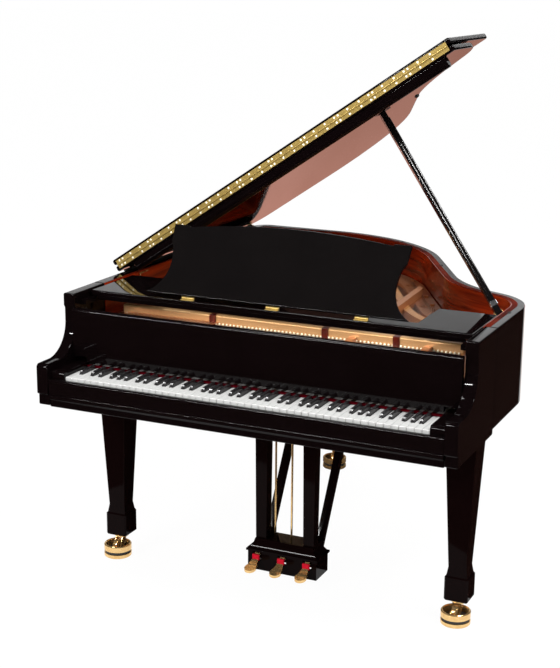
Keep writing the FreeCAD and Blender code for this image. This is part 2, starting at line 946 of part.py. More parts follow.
def lid_batten():
    y0 = lid_fold_y + leaf_room
    radius = batten_depth / 2
    x = -batten_left
    low = lid_bottom - batten_height
    edges = [
        line(V(x, y0, lid_bottom), V(x, y0, low + radius)),
        arc(V(x, y0, low + radius), V(x, y0 + radius, low), V(x, y0 + batten_depth, low + radius)),
        line(V(x, y0 + batten_depth, low + radius), V(x, y0 + batten_depth, lid_bottom)),
        line(V(x, y0 + batten_depth, lid_bottom), V(x, y0, lid_bottom)),
    ]
    return face_of(edges).extrude(V(batten_left + batten_right, 0, 0))


def prop_socket():
    half = socket_size / 2
    return box(prop_socket_x - half, prop_socket_x + half, prop_socket_y - half, prop_socket_y + half,
               lid_bottom - socket_height, lid_bottom)


nodes["lid_main"] = opened(lid_main())
nodes["lid_flap"] = folded(lid_flap())
nodes["lid_edge_hinge"] = opened(lid_edge_hinge())
nodes["flap_edge_hinge"] = folded(flap_edge_hinge())
nodes["lid_batten"] = opened(lid_batten())
nodes["prop_socket"] = opened(prop_socket())


def side_barrel(y0, y1):
    return Part.makeCylinder(hinge_barrel_radius, y1 - y0, V(lid_axis.x, y0, lid_axis.z), V(0, 1, 0))


def rim_hinge_leaves():
    """Leaves on the outside of the spine, each with one half of its barrel."""
    solids = []
    for y in side_hinge_y:
        leaf = box(-case_half - 1, -case_half, y, y + hinge_leaf_length,
                   lid_axis.z - hinge_leaf_height, lid_axis.z + hinge_drop)
        middle = y + hinge_leaf_length / 2
        relief = Part.makeCylinder(hinge_barrel_radius + running_gap, hinge_leaf_length,
                                   V(lid_axis.x, middle, lid_axis.z), V(0, 1, 0))
        solids.append(leaf.cut(relief).fuse(side_barrel(y, middle)).removeSplitter())
    return Part.makeCompound(solids)


def lid_hinge_leaves():
    """Leaves under the lid's edge, each with the other half of its barrel."""
    solids = []
    for y in side_hinge_y:
        y0 = y + hinge_leaf_length / 2 + running_gap
        y1 = y + hinge_leaf_length
        web = box(lid_axis.x - hinge_barrel_radius, lid_axis.x - 1, y0, y1, lid_axis.z, lid_bottom)
        solids.append(side_barrel(y0, y1).fuse(web).removeSplitter())
    return opened(Part.makeCompound(solids))


nodes["rim_hinge_leaves"] = rim_hinge_leaves()
nodes["lid_hinge_leaves"] = lid_hinge_leaves()


# Lid prop: it stands between its bracket on the treble side and the socket under the lid.
def opened_point(x, y, z):
    return opened(Part.Vertex(x, y, z)).Point


prop_base = V(prop_base_x, prop_base_y, rim_top - prop_base_drop)
prop_top = opened_point(prop_socket_x, prop_socket_y, lid_bottom - socket_height)
prop_along = (prop_top - prop_base).normalize()
fold_along = V(prop_fold_direction).normalize()
prop_axis = prop_along.cross(fold_along).normalize()
lid_normal = opened_point(0, 0, 1) - opened_point(0, 0, 0)


def lid_prop():
    reach = (prop_top - prop_base).Length
    heel = prop_base - prop_along * prop_width * 0.5
    stick = bar(heel, prop_base + prop_along * (reach + prop_width), prop_thickness, prop_width, prop_axis)
    under = Part.makeBox(4000, 4000, 400, V(-2000, -2000, 0))
    under.Placement = FreeCAD.Placement(prop_top - lid_normal * running_gap,
                                        FreeCAD.Rotation(V(0, 0, 1), lid_normal)).multiply(under.Placement)
    bore = Part.makeCylinder(prop_pin_radius + prop_pin_clearance, 4 * prop_thickness,
                             prop_base - prop_axis * 2 * prop_thickness, prop_axis)
    return stick.cut(under).cut(bore)


def prop_bracket():
    """Two cheeks and a pin that carry the prop, on a block screwed to the inside of the rim."""
    wall = inside_half - lining_thickness
    offset = prop_thickness / 2 + running_gap + cheek_thickness / 2
    solid = Part.makeCylinder(prop_pin_radius, 2 * offset, prop_base - prop_axis * offset, prop_axis)
    size = prop_width * 0.8
    for side in (-1, 1):
        middle = prop_base + prop_axis * offset * side
        across = prop_axis * (cheek_thickness / 2)
        disc = Part.makeCylinder(size / 2, cheek_thickness, middle - across, prop_axis)
        solid = solid.fuse(disc)
    drop = prop_width * 0.5 + 12
    down = (prop_axis * prop_axis.z - V(0, 0, 1)).normalize()
    seat_top = prop_base.z - drop
    seat = box(prop_base.x - 30, wall, prop_base.y - 36, prop_base.y + 36, seat_top - 14, seat_top)
    for side in (-1, 1):
        middle = prop_base + prop_axis * offset * side
        post = bar(middle, middle + down * ((drop + 4) / -down.z), cheek_thickness, size * 0.7, prop_axis)
        solid = solid.fuse(post)
    beyond = box(wall, case_half, 0, case_tail, 0, 2 * rim_top)
    return solid.fuse(seat).cut(beyond).removeSplitter()


nodes["lid_prop"] = lid_prop()
nodes["prop_bracket"] = prop_bracket()


# Music desk on its sliding tray
tray_half = inside_half - tray_side_gap
tray_top = rim_top - tray_drop
tray_bottom = tray_top - tray_thickness
desk_axis_z = tray_top + desk_axis_rise


def desk_tray():
    """A front rail with a lip and a shelf at each side; the desk folds down between the shelves."""
    rail = box(-tray_half, tray_half, tray_front, tray_front + tray_rail_depth, tray_bottom, tray_top)
    lip_half = inside_half - runner_width - tray_side_gap
    lip = box(-lip_half, lip_half, tray_front, tray_front + tray_lip_depth, tray_bottom - tray_lip_drop, tray_bottom)
    shelf = box(desk_half_width + shelf_gap, tray_half, tray_front, tray_back, tray_bottom, tray_top)
    return rail.fuse(lip).fuse(shelf).fuse(mirrored(shelf)).removeSplitter()


nodes["desk_tray"] = desk_tray()


def tray_runner():
    top = tray_bottom - running_gap
    return box(inside_half - runner_width, inside_half, tray_front - runner_start, arm_back, top - runner_height,
               top)


nodes["tray_runners"] = Part.makeCompound([tray_runner(), mirrored(tray_runner())])


def music_desk():
    """A leaning board with an arched top, square ears and sides drawn in to a waist."""
    desk_waist = desk_half_width - desk_waist_in
    desk_ear_half = desk_half_width - desk_ear_in
    ear_low = desk_height - desk_ear_height
    foot_corner = V(desk_half_width, desk_foot, 0)
    waist = V(desk_waist, desk_waist_height, 0)
    neck = V(desk_waist + desk_neck_out, ear_low - desk_ear_slope, 0)
    over_waist = V(desk_waist + desk_neck_out / 4, (waist.y + neck.y) / 2, 0)
    ear_foot = V(desk_ear_half - desk_ear_draft, ear_low, 0)
    ear_tip = V(desk_ear_half, desk_height, 0)
    ear_inner = V(desk_ear_half - desk_ear_width, desk_height, 0)
    shoulder = V(ear_inner.x, desk_height - desk_ear_step, 0)
    half = [
        arc(foot_corner, V(desk_waist + desk_flare, desk_flare_height, 0), waist),
        arc(waist, over_waist, neck),
        line(neck, ear_foot),
        line(ear_foot, ear_tip),
        line(ear_tip, ear_inner),
        line(ear_inner, shoulder),
    ]
    top = arc(shoulder, V(0, desk_arch, 0), V(-shoulder.x, shoulder.y, 0))
    other = [mirrored(edge) for edge in half]
    foot = line(V(-desk_half_width, desk_foot, 0), V(desk_half_width, desk_foot, 0))
    board = face_of(Part.__sortEdges__(half + [top] + other + [foot])).extrude(V(0, 0, desk_thickness))
    board.translate(V(0, 0, -2))
    board.rotate(V(0, 0, 0), V(1, 0, 0), 90 - desk_lean)
    board.translate(V(0, desk_axis_y, desk_axis_z))
    return board


def desk_hinges():
    solids = []
    for x in desk_hinge_x:
        x0 = x - desk_hinge_width / 2
        barrel = Part.makeCylinder(desk_barrel_radius, desk_hinge_width, V(x0, desk_axis_y, desk_axis_z), V(1, 0, 0))
        leaf = box(x0, x0 + desk_hinge_width, tray_front + 1, desk_axis_y, tray_top, tray_top + 2)
        post = box(x0, x0 + desk_hinge_width, desk_axis_y - 2, desk_axis_y + 2, tray_top, desk_axis_z)
        solids.append(barrel.fuse(leaf).fuse(post).removeSplitter())
    return Part.makeCompound(solids)


nodes["music_desk"] = music_desk()
nodes["desk_hinges"] = desk_hinges()


# Legs, casters and cups
feet = {"left": (-leg_x, leg_y), "right": (leg_x, leg_y), "rear": (rear_leg_x, rear_leg_y)}


def leg(x, y, top):
    sections = [square(foot_bottom_width, x, y, foot_bottom), square(foot_width, x, y, foot_z),
                square(leg_ankle_width, x, y, leg_ankle_z), square(leg_top_width, x, y, top)]
    return Part.makeLoft(sections, True, True)


nodes["legs"] = Part.makeCompound([leg(*feet["left"], bed_bottom), leg(*feet["right"], bed_bottom),
                                   leg(*feet["rear"], rim_bottom)])


def cup(x, y):
    """A turned brass cup: a foot ring and a heavy rim with a deep groove between them."""
    r = cup_radius
    e = cup_edge
    low = cup_groove_z
    high = cup_groove_z + cup_groove_height
    groove = r - cup_groove_depth
    inside = r - cup_wall
    profile = [(0, 0), (r - e, 0), (r, e), (r, low), (groove, low), (groove, high), (r, high), (r, cup_height - e),
               (r - e, cup_height), (inside + e, cup_height), (inside, cup_height - e), (inside, cup_floor),
               (0, cup_floor)]
    turned = polygon([(a, 0, z) for a, z in profile]).revolve(V(0, 0, 0), V(0, 0, 1), 360)
    turned.translate(V(x, y, 0))
    return turned


nodes["caster_cups"] = Part.makeCompound([cup(x, y - caster_trail) for x, y in feet.values()])
axle_z = cup_floor + running_gap + wheel_radius


def caster_fork(x, y):
    """Swivel plate, two cheeks and the axle. The wheel stands off the swivel's line, towards the player."""
    top = foot_bottom - running_gap
    plate = Part.makeCylinder(fork_plate_radius, fork_plate_height, V(x, y, top - fork_plate_height))
    inner = wheel_width / 2 + fork_side_gap
    axle_y = y - caster_trail
    solid = plate
    for side in (-1, 1):
        x0 = x + side * inner if side > 0 else x - inner - fork_cheek
        root = top - fork_plate_height
        outline = polygon([(x0, y - fork_cheek_front, root), (x0, y + fork_cheek_back, root),
                           (x0, axle_y + fork_eye, axle_z - axle_radius),
                           (x0, axle_y - fork_eye, axle_z - axle_radius)])
        solid = solid.fuse(outline.extrude(V(fork_cheek, 0, 0)))
    axle = Part.makeCylinder(axle_radius, 2 * inner, V(x - inner, axle_y, axle_z), V(1, 0, 0))
    return solid.fuse(axle).removeSplitter()


def caster_wheel(x, y):
    half = wheel_width / 2
    r = wheel_radius
    bore = axle_radius + axle_clearance
    profile = [(-half, bore), (half, bore), (half, r - wheel_edge), (half - wheel_edge, r), (wheel_edge - half, r),
               (-half, r - wheel_edge)]
    turned = polygon([(a, 0, b) for a, b in profile]).revolve(V(0, 0, 0), V(1, 0, 0), 360)
    turned.translate(V(x, y - caster_trail, axle_z))
    return turned


for place, (x, y) in feet.items():
    nodes["caster_fork_" + place] = caster_fork(x, y)
    nodes["caster_wheel_" + place] = caster_wheel(x, y)


# Pedal lyre
box_top = box_bottom + box_height
cap_top = box_top + box_lip_height + box_cap_height
pedal_places = {"left": -1, "middle": 0, "right": 1}
head_bottom = bed_bottom - lyre_head_height


def lyre_frame():
    """Head block under the key bed with two tapered columns down to the pedal box."""
    half = lyre_head_depth / 2
    head = box(-lyre_head_half, lyre_head_half, column_y - half, column_y + half, head_bottom, bed_bottom)
    solid = head
    for side in (-1, 1):
        column = Part.makeLoft([square(column_foot_width, side * column_x, column_y, cap_top),
                                square(column_top_width, side * column_x, column_y, head_bottom)], True, True)
        solid = solid.fuse(column)
    for i in pedal_places.values():
        bore = Part.makeCylinder(rod_radius + rod_clearance, 4 * lyre_head_height,
                                 V(i * rod_spacing, rod_y, head_bottom - lyre_head_height))
        solid = solid.cut(bore)
    return solid.removeSplitter()


def rectangle(half, y0, y1, z):
    corners = [V(-half, y0, z), V(half, y0, z), V(half, y1, z), V(-half, y1, z)]
    return Part.makePolygon(corners + corners[:1])


def pedal_box():
    """A hollow box with a lip and a hipped cap, slots for the pedals in front and holes for the rods on top."""
    out = box_lip_out
    lip_top = box_top + box_lip_height
    body = box(-box_half, box_half, box_front, box_back, box_bottom, box_top)
    lip = box(-box_half - out, box_half + out, box_front - out, box_back + out, box_top, lip_top)
    inner = box_half - box_cap_in
    cap = Part.makeLoft([rectangle(box_half, box_front, box_back, lip_top),
                         rectangle(inner + box_cap_hollow, box_front + 0.8 * box_cap_front, box_back - box_cap_back,
                                   lip_top + box_cap_height / 2),
                         rectangle(inner, box_front + box_cap_front, box_back - box_cap_back, cap_top)], True, True)
    solid = body.fuse(lip).fuse(cap)
    hollow = box(-box_half + box_wall, box_half - box_wall, box_front + box_wall, box_back - box_wall / 2,
                 box_bottom - 1, pedal_heel_z + pedal_thickness + 10)
    solid = solid.cut(hollow)
    half = pedal_neck_width / 2 + pedal_slot_gap
    for i in pedal_places.values():
        x = i * pedal_spacing
        slot = box(x - half, x + half, box_front - 1, box_front + box_wall + 1, pedal_heel_z - pedal_slot_drop,
                   box_top - 2)
        hole = Part.makeCylinder(rod_radius + rod_clearance, cap_top, V(i * rod_spacing, rod_y, box_top - 20))
        solid = solid.cut(slot).cut(hole)
    return solid.removeSplitter()


def pedal_side():
    """The pedal seen from the side: level at its pivot, sweeping down to a flat tip."""
    t = pedal_thickness
    bend_y = (pedal_tip_y + box_front) / 2
    low = [V(0, pedal_back_y, pedal_heel_z), V(0, box_front + 4, pedal_heel_z), V(0, bend_y, pedal_z + 8),
           V(0, pedal_tip_y - 1, pedal_z)]
    high = [p + V(0, 0, t) for p in reversed(low)]
    return [line(low[0], low[1]), arc(low[1], V(0, bend_y + 20, pedal_z + 16), low[2]), line(low[2], low[3]),
            line(low[3], high[0]), line(high[0], high[1]),
            arc(high[1], V(0, bend_y + 20, pedal_z + 16 + t), high[2]), line(high[2], high[3]), line(high[3], low[0])]


def pedal(i):
    """A brass pedal: round tip, narrow neck and a heel that reaches under its rod."""
    x = i * pedal_spacing
    r = pedal_tip_radius
    half = pedal_neck_width / 2
    tall = pedal_heel_z + pedal_thickness + 10
    flare_back = pedal_tip_y + r + pedal_flare
    rod_x = i * rod_spacing
    plan = Part.makeCylinder(r, tall, V(x, pedal_tip_y + r, 0))
    flare = polygon([(x - r * 0.94, pedal_tip_y + r * 1.34, 0), (x + r * 0.94, pedal_tip_y + r * 1.34, 0),
                     (x + half, flare_back, 0), (x - half, flare_back, 0)])
    plan = plan.fuse(flare.extrude(V(0, 0, tall)))
    plan = plan.fuse(box(x - half, x + half, flare_back, pedal_back_y, 0, tall))
    plan = plan.fuse(box(min(x, rod_x) - half, max(x, rod_x) + half, rod_y - 8, pedal_back_y, 0, tall))
    side = face_of(pedal_side()).extrude(V(4 * case_half, 0, 0))
    side.translate(V(-2 * case_half, 0, 0))
    pivot_z = pedal_heel_z + pedal_thickness / 2
    pin = Part.makeCylinder(pedal_pin_radius, 4 * half, V(x - 2 * half, pedal_pivot_y, pivot_z), V(1, 0, 0))
    return plan.common(side).fuse(pin).removeSplitter()


def rod(i):
    low = pedal_heel_z + pedal_thickness + running_gap
    return Part.makeCylinder(rod_radius, rod_top - low, V(i * rod_spacing, rod_y, low))


def lyre_braces():
    """Diagonal stays from the back of the pedal box up to a cross beam of the case."""
    low = V(brace_x, box_back - brace_low_in, box_bottom + brace_low_rise)
    high = V(brace_x, brace_beam_y + brace_high_out, rim_bottom + brace_high_rise)
    stay = bar(low, high, brace_size, brace_size, V(1, 0, 0))
    stay = stay.cut(box(-case_half, case_half, 0, case_tail, rim_bottom, rim_top))
    stay = stay.cut(box(-case_half, case_half, 0, box_back + box_lip_out, 0, rim_top))
    return Part.makeCompound([stay, mirrored(stay)])


nodes["lyre_frame"] = lyre_frame()
nodes["pedal_box"] = pedal_box()
nodes["lyre_braces"] = lyre_braces()
for place, i in pedal_places.items():
    nodes["pedal_" + place] = pedal(i)
    nodes["pedal_rod_" + place] = rod(i)


# The origin goes to the floor under the middle of the whole, with the lid open.
whole = Part.makeCompound(list(nodes.values())).BoundBox
origin_x = whole.Center.x
origin_y = whole.Center.y
for name, shape in nodes.items():
    shape.translate(V(-origin_x, -origin_y, 0))
    shape.exportStep("parts/" + name + ".step")
    print(name, len(shape.Solids), "solids", round(shape.Volume / 1000), "cm3", shape.isValid())
print(len(nodes), "nodes; origin at", round(origin_x, 2), round(origin_y, 2))
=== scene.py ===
# %% [markdown]
# # A grand piano with its lid propped open
# The solids of the piano come ready made, in metres, with the floor at z = 0, the keyboard along X and
# the tail towards +Y. This lesson gives them their finishes, rounds their edges so that the lacquer
# catches the light, and adds the small pieces that solids alone don't show: screws, pins, felts and bolts.

# %% Load the solids
import json
import math

import bmesh
import bpy
from mathutils import Matrix, Vector
from mathutils.bvhtree import BVHTree


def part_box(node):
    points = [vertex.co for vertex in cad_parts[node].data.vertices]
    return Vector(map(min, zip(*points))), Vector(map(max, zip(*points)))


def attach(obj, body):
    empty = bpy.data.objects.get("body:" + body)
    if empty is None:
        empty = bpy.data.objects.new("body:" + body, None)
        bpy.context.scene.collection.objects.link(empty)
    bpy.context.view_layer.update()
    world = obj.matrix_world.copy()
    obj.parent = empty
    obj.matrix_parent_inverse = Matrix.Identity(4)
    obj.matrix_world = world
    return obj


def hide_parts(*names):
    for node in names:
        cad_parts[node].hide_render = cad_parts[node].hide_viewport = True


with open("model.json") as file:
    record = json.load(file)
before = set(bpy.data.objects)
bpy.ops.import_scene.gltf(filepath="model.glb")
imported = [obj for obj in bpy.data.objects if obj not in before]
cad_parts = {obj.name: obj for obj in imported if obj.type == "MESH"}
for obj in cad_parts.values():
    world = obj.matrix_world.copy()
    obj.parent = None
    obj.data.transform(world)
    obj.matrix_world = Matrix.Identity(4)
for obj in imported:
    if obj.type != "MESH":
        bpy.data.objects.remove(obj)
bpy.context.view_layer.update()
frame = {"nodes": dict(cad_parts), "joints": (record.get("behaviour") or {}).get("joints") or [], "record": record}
nodes = frame["nodes"]
record = frame["record"]
joints = {joint["name"]: joint for joint in frame["joints"]}
slot_of = {row["node"]: row["material_slot"] for row in record["subparts"]}
body_of = {node: body for body, members in record["behaviour"]["bodies"].items() for node in members}
print("solids:", len(nodes), "joints:", len(joints))

# %% [markdown]
# ## Shared effects
# A finish is never one flat colour. Wood has streaks, cast iron and felt have a fine relief, and lacquer,
# metal and keys are polished a little unevenly by hands and cloths. Painted pictures could show that, but
# noise needs no files and no unwrapping. Each effect is one node group with named inputs, placed in every
# finish that needs it with its own values.


# %% Helpers for node groups
def new_group(name, inputs, outputs):
    group = bpy.data.node_groups.new(name, "ShaderNodeTree")
    for label, kind, value in inputs:
        socket = group.interface.new_socket(label, in_out="INPUT", socket_type=kind)
        socket.default_value = value
    for label, kind in outputs:
        group.interface.new_socket(label, in_out="OUTPUT", socket_type=kind)
    group.nodes.new("NodeGroupInput")
    group.nodes.new("NodeGroupOutput")
    return group


def add_node(tree, kind, **settings):
    node = tree.nodes.new(kind)
    for key, value in settings.items():
        setattr(node, key, value)
    return node


# %% Wood grain
def wood_grain_group():
    """Streaks drawn out along the wood, between a dark and a light colour."""
    group = new_group("wood grain",
                      [("Stretch", "NodeSocketVector", (40.0, 2.0, 40.0)),
                       ("Light", "NodeSocketColor", (1, 1, 1, 1)),
                       ("Dark", "NodeSocketColor", (0, 0, 0, 1)),
                       ("Swirl", "NodeSocketFloat", 1.2)],
                      [("Color", "NodeSocketColor"), ("Height", "NodeSocketFloat")])
    start = group.nodes["Group Input"]
    end = group.nodes["Group Output"]
    place = add_node(group, "ShaderNodeTexCoord")
    scale = add_node(group, "ShaderNodeVectorMath", operation="MULTIPLY")
    streaks = add_node(group, "ShaderNodeTexNoise")
    streaks.inputs["Scale"].default_value = 1.0
    streaks.inputs["Detail"].default_value = 6.0
    contrast = add_node(group, "ShaderNodeMapRange")
    contrast.inputs["From Min"].default_value = 0.3
    contrast.inputs["From Max"].default_value = 0.72
    blend = add_node(group, "ShaderNodeMix", data_type="RGBA")
    link = group.links.new
    link(place.outputs["Object"], scale.inputs[0])
    link(start.outputs["Stretch"], scale.inputs[1])
    link(scale.outputs[0], streaks.inputs["Vector"])
    link(start.outputs["Swirl"], streaks.inputs["Distortion"])
    link(streaks.outputs["Fac"], contrast.inputs["Value"])
    link(contrast.outputs[0], blend.inputs["Factor"])
    link(start.outputs["Dark"], blend.inputs[6])
    link(start.outputs["Light"], blend.inputs[7])
    link(blend.outputs[2], end.inputs["Color"])
    link(contrast.outputs[0], end.inputs["Height"])
    return group


wood_grain = wood_grain_group()
print("effect:", wood_grain.name)


# %% Fine relief
def fine_relief_group():
    """Small grains, for cast iron, felt, rubber and cloth."""
    group = new_group("fine relief", [("Scale", "NodeSocketFloat", 400.0)], [("Height", "NodeSocketFloat")])
    place = add_node(group, "ShaderNodeTexCoord")
    grains = add_node(group, "ShaderNodeTexNoise")
    grains.inputs["Detail"].default_value = 3.0
    link = group.links.new
    link(place.outputs["Object"], grains.inputs["Vector"])
    link(group.nodes["Group Input"].outputs["Scale"], grains.inputs["Scale"])
    link(grains.outputs["Fac"], group.nodes["Group Output"].inputs["Height"])
    return group


fine_relief = fine_relief_group()
print("effect:", fine_relief.name)


# %% Uneven polish
def polish_group():
    """Patches that are rubbed brighter or left duller, with a slightly different colour."""
    group = new_group("uneven polish",
                      [("Scale", "NodeSocketFloat", 9.0),
                       ("Bright", "NodeSocketColor", (1, 1, 1, 1)),
                       ("Dull", "NodeSocketColor", (0.8, 0.8, 0.8, 1)),
                       ("Smoothest", "NodeSocketFloat", 0.05),
                       ("Roughest", "NodeSocketFloat", 0.1)],
                      [("Color", "NodeSocketColor"), ("Roughness", "NodeSocketFloat")])
    start = group.nodes["Group Input"]
    end = group.nodes["Group Output"]
    place = add_node(group, "ShaderNodeTexCoord")
    patches = add_node(group, "ShaderNodeTexNoise")
    patches.inputs["Detail"].default_value = 5.0
    patches.inputs["Roughness"].default_value = 0.62
    tone = add_node(group, "ShaderNodeMix", data_type="RGBA")
    rough = add_node(group, "ShaderNodeMix", data_type="FLOAT")
    link = group.links.new
    link(place.outputs["Object"], patches.inputs["Vector"])
    link(start.outputs["Scale"], patches.inputs["Scale"])
    link(patches.outputs["Fac"], tone.inputs["Factor"])
    link(start.outputs["Dull"], tone.inputs[6])
    link(start.outputs["Bright"], tone.inputs[7])
    link(patches.outputs["Fac"], rough.inputs["Factor"])
    link(start.outputs["Roughest"], rough.inputs[2])
    link(start.outputs["Smoothest"], rough.inputs[3])
    link(tone.outputs[2], end.inputs["Color"])
    link(rough.outputs[0], end.inputs["Roughness"])
    return group


uneven_polish = polish_group()
print("effect:", uneven_polish.name)

# %% [markdown]
# ## Finishes
# The case is black polyester lacquer, polished like glass. Inside there are polished mahogany, a gilt iron
# plate, a spruce soundboard, copper-wound bass strings and bright steel. The hinges, pedals and casters are
# brass. Each could be wired by hand, but one function for each family keeps a finish to one call with its
# colours and its shine.

# %% Helpers for finishes
relief_depth = 0.0005
grain_depth = 0.0003


def finish(name, color, roughness, metallic=0.0, specular=0.5):
    material = bpy.data.materials.new(name)
    material.use_nodes = True
    shader = material.node_tree.nodes["Principled BSDF"]
    shader.inputs["Base Color"].default_value = (*color, 1.0)
    shader.inputs["Roughness"].default_value = roughness
    shader.inputs["Metallic"].default_value = metallic
    shader.inputs["Specular IOR Level"].default_value = specular
    return material


def bump_from(material, socket, strength, depth):
    tree = material.node_tree
    bump = add_node(tree, "ShaderNodeBump")
    bump.inputs["Strength"].default_value = strength
    bump.inputs["Distance"].default_value = depth
    tree.links.new(socket, bump.inputs["Height"])
    tree.links.new(bump.outputs["Normal"], tree.nodes["Principled BSDF"].inputs["Normal"])


def rough_finish(name, color, roughness, scale, strength, metallic=0.0, specular=0.5):
    """One colour with a fine relief."""
    material = finish(name, color, roughness, metallic, specular)
    relief = add_node(material.node_tree, "ShaderNodeGroup", node_tree=fine_relief)
    relief.inputs["Scale"].default_value = scale
    bump_from(material, relief.outputs["Height"], strength, relief_depth)
    return material


def wood_finish(name, dark, light, stretch, roughness, swirl=1.2, relief=0.0, specular=0.5):
    """Streaks between two colours. The stretch is how finely they lie along each axis."""
    material = finish(name, light, roughness, specular=specular)
    tree = material.node_tree
    grain = add_node(tree, "ShaderNodeGroup", node_tree=wood_grain)
    grain.inputs["Stretch"].default_value = stretch
    grain.inputs["Dark"].default_value = (*dark, 1.0)
    grain.inputs["Light"].default_value = (*light, 1.0)
    grain.inputs["Swirl"].default_value = swirl
    tree.links.new(grain.outputs["Color"], tree.nodes["Principled BSDF"].inputs["Base Color"])
    if relief:
        bump_from(material, grain.outputs["Height"], relief, grain_depth)
    return material


def polished_finish(name, bright, dull, smoothest, roughest, scale=9.0, metallic=0.0, specular=0.5):
    """A shine that is rubbed brighter in some patches than in others."""
    material = finish(name, bright, roughest, metallic, specular)
    tree = material.node_tree
    polish = add_node(tree, "ShaderNodeGroup", node_tree=uneven_polish)
    polish.inputs["Scale"].default_value = scale
    polish.inputs["Bright"].default_value = (*bright, 1.0)
    polish.inputs["Dull"].default_value = (*dull, 1.0)
    polish.inputs["Smoothest"].default_value = smoothest
    polish.inputs["Roughest"].default_value = roughest
    shader = tree.nodes["Principled BSDF"]
    tree.links.new(polish.outputs["Color"], shader.inputs["Base Color"])
    tree.links.new(polish.outputs["Roughness"], shader.inputs["Roughness"])
    return material


# %% Lacquers: one black lacquer, with painted warm reflection and painted sheen
# The case has one black lacquer. Its wine tint, stronger on the legs, is a painted warm reflection, and the
# lighter desk and prop lacquers are a painted sheen.
lacquer = polished_finish("black lacquer with painted warm reflection", bright=(0.0014, 0.0007, 0.0008), dull=(0.0028, 0.0015, 0.0017),
                          smoothest=0.025, roughest=0.07, specular=0.14)
desk_lacquer_painted_sheen = polished_finish("desk lacquer with painted sheen", bright=(0.0026, 0.0022, 0.0022),
                               dull=(0.0046, 0.0038, 0.0038), smoothest=0.025, roughest=0.07, specular=0.14)
leg_lacquer_painted_reflection = polished_finish("leg lacquer with painted reflection", bright=(0.0020, 0.0007, 0.0007),
                              dull=(0.0034, 0.0013, 0.0013), smoothest=0.03, roughest=0.08, specular=0.04)
prop_lacquer_painted_sheen = polished_finish("prop lacquer with painted sheen", bright=(0.0030, 0.0026, 0.0026),
                               dull=(0.0055, 0.0046, 0.0046), smoothest=0.04, roughest=0.1)
lacquers = (lacquer, desk_lacquer_painted_sheen, leg_lacquer_painted_reflection, prop_lacquer_painted_sheen)
print("lacquers:", [made.name for made in lacquers])

# %% Woods
mahogany = wood_finish("polished mahogany", dark=(0.05, 0.0012, 0.0006), light=(0.40, 0.03, 0.003),
                       stretch=(3.0, 3.0, 46.0), roughness=0.14)
edge_veneer = wood_finish("satin edge veneer", dark=(0.03, 0.002, 0.001), light=(0.15, 0.013, 0.003),
                          stretch=(5.0, 5.0, 30.0), roughness=0.5, specular=0.02)
# Not a wood: the dark red of the blocks at the struts, painted shade.
painted_strut_shade = wood_finish("dark red painted shade", dark=(0.02, 0.001, 0.0006), light=(0.12, 0.009, 0.003),
                            stretch=(40.0, 3.0, 40.0), roughness=0.3)
maple = wood_finish("satin maple", dark=(0.42, 0.27, 0.15), light=(0.6, 0.43, 0.26),
                    stretch=(14.0, 3.0, 14.0), roughness=0.4, relief=0.1)
spruce = wood_finish("varnished spruce", dark=(0.34, 0.13, 0.035), light=(0.56, 0.27, 0.09),
                     stretch=(90.0, 1.2, 8.0), roughness=0.28, swirl=0.3)
woods = (mahogany, edge_veneer, painted_strut_shade, maple, spruce)
print("woods:", [made.name for made in woods])

# %% Metals
gilt_bar = rough_finish("gilt bar", (0.62, 0.37, 0.17), roughness=0.3, metallic=0.4,
                        scale=220.0, strength=0.12)
# The plate's gilt is the bar's gilt made darker and redder: painted shade.
gilt_iron = rough_finish("gilt cast iron with painted shade", (0.52, 0.21, 0.085), roughness=0.32, metallic=0.5,
                         scale=220.0, strength=0.12)
brass = polished_finish("polished brass", bright=(1.0, 0.74, 0.36), dull=(0.66, 0.34, 0.10),
                        smoothest=0.05, roughest=0.2, scale=45.0, metallic=0.85)
# The near-white of the screw heads is a painted glint on their domes.
screw_brass_painted_glint = polished_finish("screw brass with painted glint", bright=(0.98, 0.94, 0.80), dull=(0.9, 0.8, 0.55),
                               smoothest=0.1, roughest=0.2, scale=90.0, metallic=0.1)
hinge_brass = polished_finish("lacquered brass", bright=(0.58, 0.42, 0.12), dull=(0.24, 0.15, 0.035),
                              smoothest=0.2, roughest=0.42, scale=60.0, metallic=0.5)
steel = polished_finish("bright steel", bright=(0.66, 0.66, 0.67), dull=(0.5, 0.5, 0.5),
                        smoothest=0.14, roughest=0.3, scale=40.0, metallic=1.0)
copper = polished_finish("copper winding", bright=(0.72, 0.36, 0.19), dull=(0.5, 0.22, 0.11),
                         smoothest=0.24, roughest=0.4, scale=30.0, metallic=1.0)
metals = (gilt_bar, gilt_iron, brass, screw_brass_painted_glint, hinge_brass, steel, copper)
print("metals:", [made.name for made in metals])

# %% Felts, keys and rubber
red_felt = rough_finish("red felt", (0.42, 0.008, 0.02), roughness=0.95, specular=0.0,
                        scale=900.0, strength=0.5)
wine_felt = rough_finish("wine felt", (0.07, 0.001, 0.004), roughness=0.95, specular=0.0,
                         scale=900.0, strength=0.5)
pale_felt = rough_finish("hammer felt", (0.74, 0.72, 0.66), roughness=0.95, scale=900.0, strength=0.4)
dark_rubber = rough_finish("dark rubber", (0.015, 0.015, 0.015), roughness=0.55, scale=600.0, strength=0.2)
white_key = polished_finish("white key", bright=(0.52, 0.52, 0.51), dull=(0.47, 0.47, 0.46),
                            smoothest=0.07, roughest=0.16)
black_key = polished_finish("black key", bright=(0.018, 0.017, 0.018), dull=(0.010, 0.009, 0.010),
                            smoothest=0.14, roughest=0.28, scale=40.0)
felts_and_keys = (red_felt, wine_felt, pale_felt, dark_rubber, white_key, black_key)
print("felts, rubber and keys:", [made.name for made in felts_and_keys])

